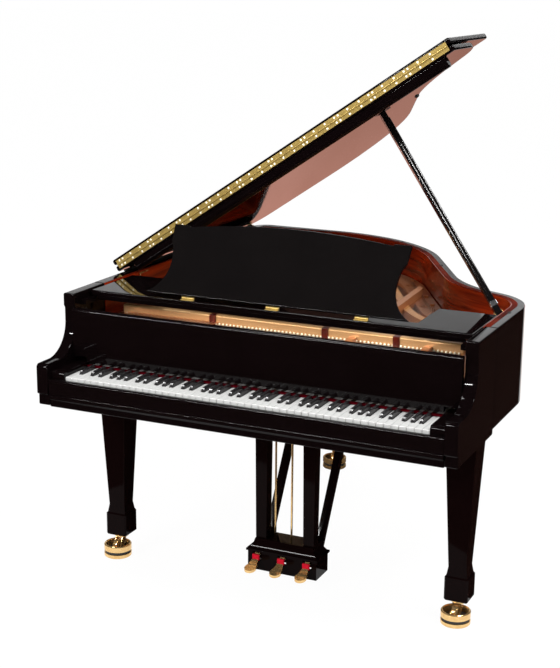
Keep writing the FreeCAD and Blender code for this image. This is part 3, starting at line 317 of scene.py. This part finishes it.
# %% Which solid has which finish
finishes = {"lacquer": lacquer, "mahogany": mahogany, "maple": maple, "spruce": spruce,
            "gilt_iron": gilt_iron, "steel": steel, "copper_wound": copper, "hammer_felt": pale_felt,
            "red_felt": red_felt, "white_key": white_key, "black_key": black_key, "brass": brass,
            "socket_plastic": dark_rubber, "caster_brass": brass}
finish_of = {node: finishes[slot] for node, slot in slot_of.items()}
finish_of["name_rail"] = wine_felt
finish_of["lid_prop"] = prop_lacquer_painted_sheen
finish_of["music_desk"] = desk_lacquer_painted_sheen
for node in ("lid_edge_hinge", "flap_edge_hinge", "desk_hinges"):
    finish_of[node] = hinge_brass
for node in ("legs", "lyre_frame", "pedal_box", "lyre_braces"):
    finish_of[node] = leg_lacquer_painted_reflection
print("finishes in the solids' slots:", len(finishes))

# %% [markdown]
# ## Rounded edges
# Polished lacquer never meets in a knife edge: the corners are eased, and those thin rounds are what draws
# the piano's outline in light. A Bevel modifier could do it, but a solid's mesh is loose triangles. So each
# mesh is copied, its flat faces are joined again, and its sharp edges are bevelled. The copy then stands for
# the solid.

# %% Pieces made from a bmesh
smooth_limit = math.radians(32.0)
weld_gap = 1e-6
flat_limit = math.radians(0.4)
sharp_limit = math.radians(35.0)


def piece(name, bm, material, body):
    mesh = bpy.data.meshes.new(name)
    bm.to_mesh(mesh)
    bm.free()
    mesh.materials.append(material)
    mesh.shade_smooth()
    mesh.set_sharp_from_angle(angle=smooth_limit)
    made = bpy.data.objects.new(name, mesh)
    bpy.context.scene.collection.objects.link(made)
    flatten = made.modifiers.new("flat faces keep their normals", "WEIGHTED_NORMAL")
    flatten.keep_sharp = True
    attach(made, body)
    return made


def welded_copy(node):
    bm = bmesh.new()
    bm.from_mesh(nodes[node].data)
    bmesh.ops.remove_doubles(bm, verts=bm.verts, dist=weld_gap)
    return bm


def joined_copy(node):
    """A welded copy whose flat faces are whole again."""
    bm = welded_copy(node)
    bmesh.ops.dissolve_limit(bm, angle_limit=flat_limit, verts=bm.verts, edges=bm.edges)
    return bm


def eased(node, width, segments):
    """A copy of a solid with its sharp edges rounded, in the solid's place."""
    bm = joined_copy(node)
    inner = [edge for edge in bm.edges if len(edge.link_faces) == 2]
    sharp = [edge for edge in inner if edge.calc_face_angle(0.0) > sharp_limit]
    if width:
        bmesh.ops.bevel(bm, geom=sharp, offset=width, offset_type="OFFSET", affect="EDGES", segments=segments,
                        profile=0.5, material=-1, clamp_overlap=True)
    made = piece(node + "_eased", bm, finish_of[node], body_of[node])
    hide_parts(node)
    return made


# %% Ease every solid by what its real edges have
solids_by_round = {
    0.0004: ["desk_hinges"],
    0.0009: ["black_keys_bass", "black_keys_treble", "key_c_sharp4"],
    0.001: ["key_slip", "name_rail", "prop_bracket", "dampers", "hammers"],
    0.0012: ["caster_cups"],
    0.002: ["white_keys_bass", "white_keys_treble", "key_c4", "key_d4", "fallboard", "pedal_box",
            "prop_socket", "bridges"],
    0.0028: ["pedal_left", "pedal_middle", "pedal_right"],
    0.003: ["key_bed", "key_blocks", "lid_batten", "music_desk", "legs", "lyre_frame", "lyre_braces",
            "iron_plate"],
    0.004: ["outer_rim", "desk_tray"],
    0.005: ["arms"],
    0.006: ["lid_main", "lid_flap"],
    0.0085: ["lid_prop"]}
edge_rounds = {node: width for width, members in solids_by_round.items() for node in members}
usual_steps = 2
round_steps = {"lid_prop": 5}
for node in nodes:
    eased(node, edge_rounds.get(node, 0.0), round_steps.get(node, usual_steps))
print("eased:", len(edge_rounds), "of", len(nodes))

# %% [markdown]
# ## The long brass hinge
# The front flap of the lid folds back on a hinge that runs the whole width of the lid. Folded, both leaves
# face the player, with the knuckles between them. The leaves are held by screws with low domed heads, one at
# a time and now and then two together, and the knuckle shows a dark seam where the two leaves interlock.
# Slots could be cut in the heads, but at this size a flattened sphere is enough. It is kept so low that the
# heads of the two leaves don't meet when the flap unfolds.

# %% Places along the folded lid
flap_joint = joints["flap_unfold"]
along_lid = Vector(flap_joint["axis"]).normalized()
lid_up = Vector((-along_lid.z, 0.0, along_lid.x))
fold_point = Vector(flap_joint["pos_m"])
knuckle_radius = 0.003
head_sink = 0.0003
hinge_points = [vertex.co - fold_point for vertex in nodes["lid_edge_hinge"].data.vertices]
hinge_runs = [point.dot(along_lid) for point in hinge_points]
hinge_start, hinge_end = min(hinge_runs), max(hinge_runs)
leaf_reach = -min(point.dot(lid_up) for point in hinge_points)
leaf_middle = (knuckle_radius + leaf_reach) / 2
head_y = fold_point.y + head_sink
print("hinge length", round(hinge_end - hinge_start, 3), "leaf middle", round(leaf_middle, 4))

# %% Screws of both leaves
dome_rings = 6


def domed_heads(name, centres, outward, radius, rise, body, material, sides=10):
    """Low domes at the given points, all facing one way."""
    bm = bmesh.new()
    turn = outward.to_track_quat("Z", "Y").to_matrix().to_4x4()
    shape = Matrix.Diagonal((radius, radius, rise, 1.0))
    for centre in centres:
        bmesh.ops.create_uvsphere(bm, u_segments=sides, v_segments=dome_rings, radius=1.0,
                                  matrix=Matrix.Translation(centre) @ turn @ shape)
    return piece(name, bm, material, body)


# The heads take the near-white screw brass, a painted glint.
screw_radius = 0.0038
screw_rise = 0.0014
screw_pitch = 0.046
pair_every = 3
pair_half = 0.0075
toward_player = Vector((0, -1, 0))
screw_count = int((hinge_end - hinge_start) / screw_pitch)
for side, body in ((-1, "lid"), (1, "flap")):
    centres = []
    for i in range(screw_count):
        for shift in ([0.0] if i % pair_every else [-pair_half, pair_half]):
            run = hinge_start + (i + 0.5) * screw_pitch + shift
            centre = fold_point + along_lid * run + lid_up * side * leaf_middle
            centres.append(Vector((centre.x, head_y, centre.z)))
    domed_heads("hinge_screws_" + body, centres, toward_player, screw_radius, screw_rise, body, screw_brass_painted_glint)
    print("screws on the", body, len(centres))

# %% Seams of the knuckle
seam_pitch = 0.05
seam_width = 0.0007
seam_sides = 14
seam_proud = 0.0001
seam_radius = knuckle_radius + seam_proud
seam_count = int((hinge_end - hinge_start) / seam_pitch) - 1
seam_turn = along_lid.to_track_quat("Z", "Y").to_matrix().to_4x4()
bm = bmesh.new()
for i in range(seam_count):
    spot = Matrix.Translation(fold_point + along_lid * (hinge_start + (i + 1) * seam_pitch)) @ seam_turn
    bmesh.ops.create_cone(bm, cap_ends=True, segments=seam_sides, radius1=seam_radius, radius2=seam_radius,
                          depth=seam_width, matrix=spot)
piece("knuckle_seams", bm, dark_rubber, "lid")
print("seams:", seam_count)

# %% [markdown]
# ## Strings and what holds them
# Each string is coiled round its tuning pin, passes a brass agraffe screwed to the plate, and ends on a hitch
# pin at the plate's far flange. A strip of red felt lies under the strings between the pins and the agraffes.
# They could be set out by hand, but all of them stand on lines that the strings give. So the strings' own
# ends are measured first.


# %% Where each string starts and ends
def islands(node):
    """The points of each separate solid in a node, in the order of its mesh."""
    bm = welded_copy(node)
    reached = set()
    groups = []
    for first in bm.verts:
        if first in reached:
            continue
        reached.add(first)
        found = [first]
        # The list grows while it is walked, until no neighbour is left.
        for vertex in found:
            for edge in vertex.link_edges:
                other = edge.other_vert(vertex)
                if other not in reached:
                    reached.add(other)
                    found.append(other)
        groups.append([vertex.co.copy() for vertex in found])
    bm.free()
    return groups


def centre_of(points):
    return sum(points, Vector()) / len(points)


def string_ends(node):
    ends = []
    for points in islands(node):
        points.sort(key=lambda point: point.y)
        half = len(points) // 2
        ends.append((centre_of(points[:half]), centre_of(points[half:])))
    return ends


strings = string_ends("treble_strings") + string_ends("bass_strings")
plate_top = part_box("tuning_pins")[0].z
string_rise = strings[0][0].z - plate_top
print("strings:", len(strings), "plate top", round(plate_top, 4))


# %% Agraffes and hitch pins
def upright_pins(name, feet, radius, rise, material, sides=8, top_share=0.7):
    bm = bmesh.new()
    for foot in feet:
        bmesh.ops.create_cone(bm, cap_ends=True, segments=sides, radius1=radius, radius2=radius * top_share,
                              depth=rise, matrix=Matrix.Translation(foot + Vector((0, 0, rise / 2))))
    return piece(name, bm, material, "case")


agraffe_inset = 0.006
agraffe_radius, agraffe_over_string = 0.0036, 0.004
hitch_radius, hitch_over_string = 0.0022, 0.006
agraffe_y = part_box("pin_block")[1].y - agraffe_inset
agraffe_feet = []
hitch_feet = []
for start, end in strings:
    spot = start.lerp(end, (agraffe_y - start.y) / (end.y - start.y))
    agraffe_feet.append(Vector((spot.x, spot.y, plate_top)))
    hitch_feet.append(Vector((end.x, end.y, plate_top)))
upright_pins("agraffes", agraffe_feet, agraffe_radius, string_rise + agraffe_over_string, brass)
upright_pins("hitch_pins", hitch_feet, hitch_radius, string_rise + hitch_over_string, steel, sides=6)
print("agraffes:", len(agraffe_feet), "hitch pins:", len(hitch_feet))

# %% Coils round the tuning pins
coil_radius = 0.0052
coil_height = 0.0055
coil_feet = []
for points in islands("tuning_pins"):
    middle = centre_of(points)
    nearest = min(strings, key=lambda ends: (ends[0].xy - middle.xy).length)
    coil_feet.append(Vector((middle.x, middle.y, nearest[0].z - coil_height / 2)))
upright_pins("string_coils", coil_feet, coil_radius, coil_height, steel, sides=10, top_share=1.0)
print("coils:", len(coil_feet))


# %% Felt under the strings
def rounded_block(middle, size, round_off, steps=2, turn=Matrix.Identity(4)):
    """A bmesh of a box whose edges are all rounded alike."""
    bm = bmesh.new()
    bmesh.ops.create_cube(bm, size=1.0,
                          matrix=Matrix.Translation(middle) @ turn @ Matrix.Diagonal((*size, 1.0)))
    bmesh.ops.bevel(bm, geom=bm.edges[:], offset=round_off, offset_type="OFFSET", affect="EDGES",
                    segments=steps, profile=0.5, material=-1)
    return bm


felt_depth = 0.024
felt_height = 0.004
felt_round = 0.0015
felt_before_agraffes = 0.034
felt_margin = 0.02
left_string = min(foot.x for foot in agraffe_feet) - felt_margin
right_string = max(foot.x for foot in agraffe_feet) + felt_margin
felt_middle = ((left_string + right_string) / 2,
               agraffe_y - felt_before_agraffes,
               plate_top + felt_height / 2)
felt_size = (right_string - left_string, felt_depth, felt_height)
piece("string_felt", rounded_block(felt_middle, felt_size, felt_round), red_felt, "case")
print("felt length", round(felt_size[0], 3))

# %% [markdown]
# ## The bar over the strings
# Behind the tuning pins a bar of the iron plate crosses over the strings and bears down on them. It is what
# shows between the fallboard and the music tray, gilt like the plate, with a row of screw heads in front, one
# to a note, and dark red blocks at the struts, which are painted shade where the struts' sides lie in shadow.
# The casting could be lofted, but only its front is in sight, so a beam with well rounded edges is enough.


# %% Bar
def beam(name, low, high, material, round_off):
    low, high = Vector(low), Vector(high)
    block = rounded_block((low + high) / 2, high - low, round_off, steps=3)
    return piece(name, block, material, "case")


bar_front, bar_back = -0.462, -0.436
bar_low, bar_high = 0.868, 0.902
bar_overhang = 0.01
bar_round = 0.007
bar_left, bar_right = left_string - bar_overhang, right_string + bar_overhang
beam("string_bar", (bar_left, bar_front, bar_low), (bar_right, bar_back, bar_high),
     gilt_bar, bar_round)
print("bar length", round(bar_right - bar_left, 3))

# %% Screws of the bar, and blocks of painted shade at the struts
note_count = 88
bar_screw_radius, bar_screw_rise, bar_screw_up = 0.0042, 0.004, 0.0045
note_pitch = (right_string - left_string) / note_count
screw_runs = [left_string + (i + 0.5) * note_pitch for i in range(note_count)]
note_screws = [Vector((x, bar_front, bar_low + bar_screw_up)) for x in screw_runs]
# These heads too are near white, a painted glint.
domed_heads("bar_screws", note_screws, toward_player, bar_screw_radius, bar_screw_rise, "case", screw_brass_painted_glint,
            sides=8)
# The blocks at the struts are painted shade: dark red where the struts' sides lie in shadow.
strut_places = (-0.235, 0.165, 0.405)
block_half, block_proud, block_over, block_round = 0.011, 0.006, 0.001, 0.002
for i, x in enumerate(strut_places):
    beam("strut_shade_block_%d" % i, (x - block_half, bar_front - block_proud, bar_low),
         (x + block_half, bar_back, bar_high + block_over), painted_strut_shade, block_round)
print("screws on the bar:", len(note_screws), "blocks:", len(strut_places))

# %% [markdown]
# ## Plate bolts and rim bumpers
# The iron plate is bolted down all round its flange, and small rubber buttons on the rim keep the closed lid
# off the lacquer. Both rows follow the inside of the rim. Its curve could be written down again, but a ray
# sent outwards from the middle of the case finds it, and still does when the case changes.

# %% Points along the inside of the rim
first_look, last_look, look_step = -28, 216, 18
lining_mesh = joined_copy("rim_lining")
lining = BVHTree.FromBMesh(lining_mesh)
lining_mesh.free()
lining_low, lining_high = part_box("rim_lining")
look_from = Vector((-0.1, 0.15, (lining_low.z + lining_high.z) / 2))
rim_points = []
for degrees in range(first_look, last_look, look_step):
    look = Vector((math.cos(math.radians(degrees)), math.sin(math.radians(degrees)), 0.0))
    spot, inward, _, _ = lining.ray_cast(look_from, look)
    if spot:
        rim_points.append((spot, inward.normalized()))
print("points on the rim:", len(rim_points))

# %% Bolts and bumpers
bolt_radius, bolt_rise, bolt_inset = 0.009, 0.008, 0.026
bumper_radius, bumper_rise, bumper_every = 0.007, 0.003, 3
rim_middle = 0.022
rim_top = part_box("outer_rim")[1].z
bolt_feet = []
bumper_spots = []
for spot, inward in rim_points:
    if inward.dot(look_from - spot) < 0:
        inward = -inward
    bolt = spot + inward * bolt_inset
    bolt_feet.append(Vector((bolt.x, bolt.y, plate_top)))
    bumper = spot - inward * rim_middle
    bumper_spots.append(Vector((bumper.x, bumper.y, rim_top)))
upright_pins("plate_bolts", bolt_feet, bolt_radius, bolt_rise, gilt_iron, sides=6,
             top_share=0.92)
bumper_spots = bumper_spots[::bumper_every]
domed_heads("rim_bumpers", bumper_spots, Vector((0, 0, 1)), bumper_radius, bumper_rise, "case", dark_rubber,
            sides=14)
print("bolts:", len(bolt_feet), "bumpers:", len(bumper_spots))

# %% [markdown]
# ## Veneer on the rim, strip at the spine and corner bracket
# The mahogany veneer of the inner rim turns over its top edge and leaves only a narrow band of lacquer
# outside. It is the top face of the rim with its outer corners drawn in towards the lining, made solid: so it
# follows every bend of the rim. A low strip closes the gap under the lid along the spine, and a brass corner
# bracket stiffens the rim beside the lid's first hinge.

# %% Veneer turned over the rim
veneer_share = 0.56
spine_share = 0.93
spine_edge = -0.6
veneer_lift = 0.0003
veneer_thickness = 0.0006
level_slack = 0.001
flat_enough = 0.9
outer_gap = 0.01
bm = joined_copy("outer_rim")
low_faces = [face for face in bm.faces
             if face.normal.z < flat_enough or face.calc_center_median().z < rim_top - level_slack]
bmesh.ops.delete(bm, geom=low_faces, context="FACES")
for vertex in bm.verts:
    near, _, _, gap = lining.find_nearest(Vector((vertex.co.x, vertex.co.y, lining_high.z)))
    if gap > outer_gap:
        flat = vertex.co.lerp(near, spine_share if vertex.co.x < spine_edge else veneer_share)
        vertex.co = Vector((flat.x, flat.y, vertex.co.z))
    vertex.co.z += veneer_lift
bmesh.ops.solidify(bm, geom=bm.faces[:], thickness=veneer_thickness)
bmesh.ops.recalc_face_normals(bm, faces=bm.faces[:])
veneer_top = max(vertex.co.z for vertex in bm.verts)
print("veneer faces:", len(bm.faces), "top over the rim", round(veneer_top - rim_top, 5))
piece("rim_veneer", bm, edge_veneer, "case")

# %% Strip at the spine
strip_front, strip_back = -0.275, 0.75
strip_width, strip_rise, strip_round = 0.006, 0.007, 0.001
rim_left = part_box("outer_rim")[0].x
strip_right, strip_top = rim_left + strip_width, rim_top + strip_rise
beam("spine_strip", (rim_left, strip_front, rim_top), (strip_right, strip_back, strip_top),
     dark_rubber, strip_round)
print("strip length", strip_back - strip_front)

# %% Corner bracket
bracket_sheet, bracket_round = 0.002, 0.0005
bracket_front, bracket_back, leg_back = -0.245, -0.185, -0.238
foot_low, foot_high = 0.958, 0.964
leg_low, leg_high = 0.932, 0.959
bracket_off_lining = 0.003
bracket_near = lining_low.x + bracket_off_lining
bracket_far = bracket_near + bracket_sheet
beam("rim_bracket_foot", (bracket_near, bracket_front, foot_low), (bracket_far, bracket_back, foot_high),
     brass, bracket_round)
beam("rim_bracket_leg", (bracket_near, bracket_front, leg_low), (bracket_far, leg_back, leg_high),
     brass, bracket_round)
print("bracket at x", round(bracket_near, 3))

# %% [markdown]
# ## Prop, lid pad, foot sleeves and pedal felts
# The lid prop has a steel ferrule near its pivot and two slim beads along each narrow side, which catch the
# light. The prop leans, so rays sent at it find the faces that the beads lie on. A rubber pad is fixed to
# the lid's underside, and two screws on the treble side hold the tray's runner. A sleeve of lacquer stands
# round each foot, a dark ring round each cup, which is the painted shade of the groove in the cup, and each
# pedal carries a red felt just before it enters the pedal box. Pad and screws are set by measure. Sleeves,
# rings and felts could be too, but they are centred on the solids that carry them, so that they follow when
# those change.

# %% The ferrule of the prop
prop_joint = joints["prop_fold"]
prop_base = Vector(prop_joint["pos_m"])
prop_axis = Vector(prop_joint["axis"]).normalized()
prop_points = [vertex.co for vertex in nodes["lid_prop"].data.vertices]
end_points = 4
prop_far = sorted(prop_points, key=lambda point: (point - prop_base).length)[-end_points:]
prop_along = (centre_of(prop_far) - prop_base).normalized()
prop_across = (prop_axis - prop_along * prop_axis.dot(prop_along)).normalized()
prop_turn = Matrix((prop_across, prop_along.cross(prop_across), prop_along)).transposed().to_4x4()
ferrule_low, ferrule_high = 0.028, 0.046
ferrule_size = (0.0225, 0.0325, ferrule_high - ferrule_low)
ferrule_round = 0.001
ferrule_middle = prop_base + prop_along * (ferrule_low + ferrule_high) / 2
ferrule = rounded_block(ferrule_middle, ferrule_size, ferrule_round, turn=prop_turn)
piece("prop_ferrule", ferrule, steel, "prop")
print("ferrule at", [round(v, 3) for v in ferrule_middle])

# %% Beads along the prop
bead_radius, bead_rise, bead_offset, bead_sides = 0.003, 0.0016, 0.0052, 16
bead_start, bead_end_gap = 0.06, 0.035
cast_from = 0.1
prop_length = max((point - prop_base).dot(prop_along) for point in prop_points)
prop_side = prop_along.cross(prop_axis).normalized()
bead_runs = (bead_start, prop_length - bead_end_gap)
prop_mesh = joined_copy("lid_prop")
prop_tree = BVHTree.FromBMesh(prop_mesh)
prop_mesh.free()
bm = bmesh.new()
for outward in (-prop_side, prop_side):
    starts = [prop_base + prop_along * run + outward * cast_from for run in bead_runs]
    feet = [prop_tree.ray_cast(start, -outward)[0] for start in starts]
    sunk = outward * (bead_rise - bead_radius)
    for shift in (-bead_offset, bead_offset):
        low, high = (foot + sunk + prop_axis * shift for foot in feet)
        turn = (high - low).to_track_quat("Z", "Y").to_matrix().to_4x4()
        spot = Matrix.Translation((low + high) / 2) @ turn
        bmesh.ops.create_cone(bm, cap_ends=True, segments=bead_sides, radius1=bead_radius,
                              radius2=bead_radius, depth=(high - low).length, matrix=spot)
piece("prop_beads", bm, prop_lacquer_painted_sheen, "prop")
print("beads up to", round(bead_runs[1], 3), "m along the prop")

# %% Lid pad and runner screws
pad_along, pad_y, underside_rise = 1.103, 0.176, 0.008
pad_radius, pad_rise = 0.009, 0.006
lid_base = Vector(joints["lid_lift"]["pos_m"])
pad_spot = Vector((lid_base.x, pad_y, lid_base.z)) + along_lid * pad_along + lid_up * underside_rise
domed_heads("lid_pad", [pad_spot], -lid_up, pad_radius, pad_rise, "lid", dark_rubber,
            sides=16)
runner_screw_radius, runner_screw_rise = 0.003, 0.0001
runner_screw_y = -0.383
runner_screw_drops = (0.009, 0.026)
rim_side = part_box("outer_rim")[1].x
runner_screws = [Vector((rim_side, runner_screw_y, rim_top - drop)) for drop in runner_screw_drops]
domed_heads("rim_screws", runner_screws, Vector((1, 0, 0)), runner_screw_radius, runner_screw_rise, "case",
            steel)
print("pad at", [round(v, 3) for v in pad_spot], "runner screws:", len(runner_screws))

# %% Sleeves round the feet
sleeve_half, sleeve_round = 0.0395, 0.005
sleeve_gap = 0.002
sleeve_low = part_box("legs")[0].z + sleeve_gap
sleeve_high = 0.158
sleeve_size = (2 * sleeve_half, 2 * sleeve_half, sleeve_high - sleeve_low)
leg_points = islands("legs")
for i, points in enumerate(leg_points):
    spot = centre_of([point for point in points if point.z < sleeve_low])
    middle = (spot.x, spot.y, (sleeve_low + sleeve_high) / 2)
    sleeve = rounded_block(middle, sleeve_size, sleeve_round, steps=1)
    piece("foot_sleeve_%d" % i, sleeve, leg_lacquer_painted_reflection, "case")
print("sleeves:", len(leg_points))

# %% Dark rings round the cups, painted shade of their grooves
ring_low, ring_high, ring_inset, ring_sides = 0.0145, 0.0235, 0.0035, 40
cup_groups = islands("caster_cups")
bm = bmesh.new()
for points in cup_groups:
    middle = centre_of(points)
    radius = max((point.xy - middle.xy).length for point in points) - ring_inset
    spot = Matrix.Translation((middle.x, middle.y, (ring_low + ring_high) / 2))
    bmesh.ops.create_cone(bm, cap_ends=True, segments=ring_sides, radius1=radius, radius2=radius,
                          depth=ring_high - ring_low, matrix=spot)
piece("cup_grooves_painted_shade", bm, dark_rubber, "case")
print("rings:", len(cup_groups))

# %% Felts where the pedals enter the box
box_lip = 0.005
pedal_felt_size = (0.025, 0.009, 0.021)
pedal_felt_round = 0.002
pedal_felt_gap = 0.0042
tip_length = 0.03
neck_drop = 0.011
box_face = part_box("pedal_box")[0].y + box_lip
for name in ("pedal_left", "pedal_middle", "pedal_right"):
    points = [vertex.co for vertex in nodes[name].data.vertices]
    tip_y = min(point.y for point in points)
    tip = [point.x for point in points if point.y < tip_y + tip_length]
    neck_z = max(point.z for point in points) - neck_drop
    middle = Vector(((min(tip) + max(tip)) / 2, box_face - pedal_felt_gap - pedal_felt_size[1] / 2, neck_z))
    felt = rounded_block(middle, pedal_felt_size, pedal_felt_round)
    piece(name + "_felt", felt, red_felt, body_of[name])
    print(name, "felt at", [round(v, 3) for v in middle])

# %% [markdown]
# ## Floor and stage
# Lacquer is a mirror, so its tone is the tone of what stands opposite. The piano stands on a white floor,
# in a dark tent such as photographers use to keep black lacquer black, and a warm sheet on the floor behind
# it shows in the underside of the lid. The tent, the cloths on the floor and the grey screens show in
# reflections only: the camera looks through them, and so does the light of the lamps. A white floor alone
# would turn the lacquer grey, and a dark room would lose the white picture.


# %% Helper for the stage
def staged(name, bm, material, only_mirrored=False):
    mesh = bpy.data.meshes.new(name)
    bm.to_mesh(mesh)
    bm.free()
    mesh.materials.append(material)
    made = bpy.data.objects.new(name, mesh)
    bpy.context.scene.collection.objects.link(made)
    if only_mirrored:
        made.visible_camera = False
        made.visible_diffuse = False
        made.visible_shadow = False
    return made


# %% White floor
floor_half = 60.0
glow_share = 0.97
white_floor = finish("white floor", (0.9, 0.9, 0.9), roughness=0.9)
tree = white_floor.node_tree
link = tree.links.new
rays = add_node(tree, "ShaderNodeLightPath")
seen = add_node(tree, "ShaderNodeMath", operation="MAXIMUM")
seen_through = add_node(tree, "ShaderNodeMath", operation="MAXIMUM")
share = add_node(tree, "ShaderNodeMath", operation="MULTIPLY")
share.inputs[1].default_value = glow_share
glow = add_node(tree, "ShaderNodeEmission")
both = add_node(tree, "ShaderNodeMixShader")
link(rays.outputs["Is Camera Ray"], seen.inputs[0])
link(rays.outputs["Is Glossy Ray"], seen.inputs[1])
link(seen.outputs[0], seen_through.inputs[0])
link(rays.outputs["Is Transmission Ray"], seen_through.inputs[1])
link(seen_through.outputs[0], share.inputs[0])
link(share.outputs[0], both.inputs[0])
link(tree.nodes["Principled BSDF"].outputs[0], both.inputs[1])
link(glow.outputs[0], both.inputs[2])
link(both.outputs[0], tree.nodes["Material Output"].inputs["Surface"])
bm = bmesh.new()
bmesh.ops.create_grid(bm, x_segments=1, y_segments=1, size=floor_half)
staged("floor", bm, white_floor)
print("floor glows by", glow_share, "where it is seen")


# %% Dark tent
def cloth_finish(name, color):
    return rough_finish(name, color, roughness=1.0, specular=0.0, scale=40.0, strength=0.2)


tent_size = Vector((18.0, 16.0, 7.4))
bm = bmesh.new()
bmesh.ops.create_cube(bm, size=1.0,
                      matrix=Matrix.Translation((0, 0, tent_size.z / 2)) @ Matrix.Diagonal((*tent_size, 1.0)))
tent_bottom = [face for face in bm.faces if face.normal.z < -flat_enough]
bmesh.ops.delete(bm, geom=tent_bottom, context="FACES")
staged("dark_tent", bm, cloth_finish("dark cloth", (0.006, 0.005, 0.005)), only_mirrored=True)
print("tent", tuple(tent_size))


# %% Cloths on the floor
def laid_cloth(name, corners, material, lift):
    bm = bmesh.new()
    bm.faces.new([bm.verts.new((x, y, lift)) for x, y in corners])
    return staged(name, bm, material, only_mirrored=True)


cloth_lift = 0.0005
brown_cloth = cloth_finish("brown cloth", (0.022, 0.010, 0.007))
warm_sheet = wood_finish("warm sheet", dark=(0.50, 0.22, 0.16), light=(0.80, 0.40, 0.32),
                         stretch=(0.5, 0.35, 1.0), roughness=1.0, swirl=0.0, specular=0.0)
cloth_corners = [(-7.4, 7.9), (-8.9, 7.9), (-8.9, -7.9), (8.9, -7.9),
                 (8.9, 7.9), (1.1, 7.9), (1.1, -0.7), (-0.55, -1.45)]
rug_corners = [(-0.5, -0.3), (1.1, -0.3), (1.1, 1.2), (-0.5, 1.2)]
sheet_corners = [(-4.0, 1.2), (0.4, 1.2), (0.4, 7.8), (-4.0, 7.8)]
laid_cloth("floor_cloth", cloth_corners, brown_cloth, cloth_lift)
laid_cloth("rug_under_the_piano", rug_corners, brown_cloth, cloth_lift)
laid_cloth("warm_sheet", sheet_corners, warm_sheet, 2 * cloth_lift)
print("cloths lie", cloth_lift, "m and the warm sheet", 2 * cloth_lift, "m over the floor")

# %% Grey screens behind the piano
screen_y, screen_z, screen_height = 7.9, 3.4, 2.8
screens = {"left_screen": (-6.5, -4.0, 0.66),
           "middle_screen": (-4.0, -1.75, 0.40),
           "right_screen": (-1.75, 2.5, 0.72)}
upright = Matrix.Rotation(math.radians(90.0), 4, "X")
for name, (left, right, grey) in screens.items():
    middle = Matrix.Translation(((left + right) / 2, screen_y, screen_z))
    bm = bmesh.new()
    bmesh.ops.create_grid(bm, x_segments=1, y_segments=1, size=0.5,
                          matrix=middle @ upright @ Matrix.Diagonal((right - left, screen_height, 1.0, 1.0)))
    staged(name, bm, cloth_finish(name.replace("_", " "), (grey, grey, grey)), only_mirrored=True)
print("screens:", len(screens))

# %% [markdown]
# ## Light and camera
# A white world lights every side. A long soft lamp on the right and a small one high on the left give the
# piano its shape, and a lamp in front lights the keys without showing in the lacquer. A thin bright strip
# far in front does the opposite: it lights nothing and only shows in the lacquer, where it draws the thin
# lines on rounded edges. A faint strip under the tray lights the bar over the strings. The camera stands
# where the keyboard, with its known key width, looks as it does in the picture.

# %% World
world = bpy.data.worlds.new("white room")
world.use_nodes = True
bpy.context.scene.world = world
background = world.node_tree.nodes["Background"]
background.inputs["Color"].default_value = (1, 1, 1, 1)
background.inputs["Strength"].default_value = 1.0
print("world:", world.name)


# %% Lamps
def softbox(name, place, aim, width, height, watts, color=(1, 1, 1), mirrored=True, lights=True):
    lamp = bpy.data.lights.new(name, "AREA")
    lamp.shape = "RECTANGLE"
    lamp.size = width
    lamp.size_y = height
    lamp.energy = watts
    lamp.color = color
    made = bpy.data.objects.new(name, lamp)
    made.location = place
    made.rotation_euler = (Vector(aim) - Vector(place)).to_track_quat("-Z", "Y").to_euler()
    made.visible_camera = False
    made.visible_glossy = mirrored
    made.visible_diffuse = lights
    bpy.context.scene.collection.objects.link(made)
    print(name, watts, "W")


softbox("side box", (3.5, -0.9, 5.8), aim=(0.2, -0.2, 0.9), width=3.4, height=1.0, watts=330)
softbox("front box", (-2.2, -6.0, 3.4), aim=(0, -0.3, 1.0), width=2.4, height=1.6, watts=260, mirrored=False)
softbox("high box", (-2.1, -2.5, 6.4), aim=(0, -0.4, 0.9), width=1.2, height=1.2, watts=110)
softbox("strip under the tray", (0.1, -0.535, 0.943), aim=(0.1, -0.45, 0.868), width=0.86, height=0.016,
        watts=0.7, color=(1.0, 0.95, 0.86))
softbox("edge strip", (-2.85, -7.0, 4.0), aim=(0, -0.6, 0.8), width=3.6, height=0.15, watts=420, lights=False)

# %% Camera
frame_width, frame_height = 560, 668
camera_place = (1.83264, -4.46468, 1.995)
camera_turn, camera_pitch, camera_roll = 0.42777799, 0.25152383, 0.00981811
focal_pixels = 1410.847
sensor = 36.0
level_reach = math.cos(camera_pitch)
view = Vector((-math.sin(camera_turn) * level_reach,
               math.cos(camera_turn) * level_reach,
               -math.sin(camera_pitch)))
right = Vector((math.cos(camera_turn), math.sin(camera_turn), 0.0))
up = right.cross(view)
right, up = (right * math.cos(camera_roll) + up * math.sin(camera_roll),
             up * math.cos(camera_roll) - right * math.sin(camera_roll))
lens = bpy.data.cameras.new("camera")
lens.sensor_width = sensor
lens.lens = focal_pixels * sensor / max(frame_width, frame_height)
lens.clip_end = 200.0
camera = bpy.data.objects.new("camera", lens)
bpy.context.scene.collection.objects.link(camera)
camera.matrix_world = Matrix.Translation(camera_place) @ Matrix((right, up, -view)).transposed().to_4x4()
bpy.context.scene.camera = camera
bpy.context.scene.view_settings.view_transform = "Standard"
print("lens", round(lens.lens, 2), "mm")
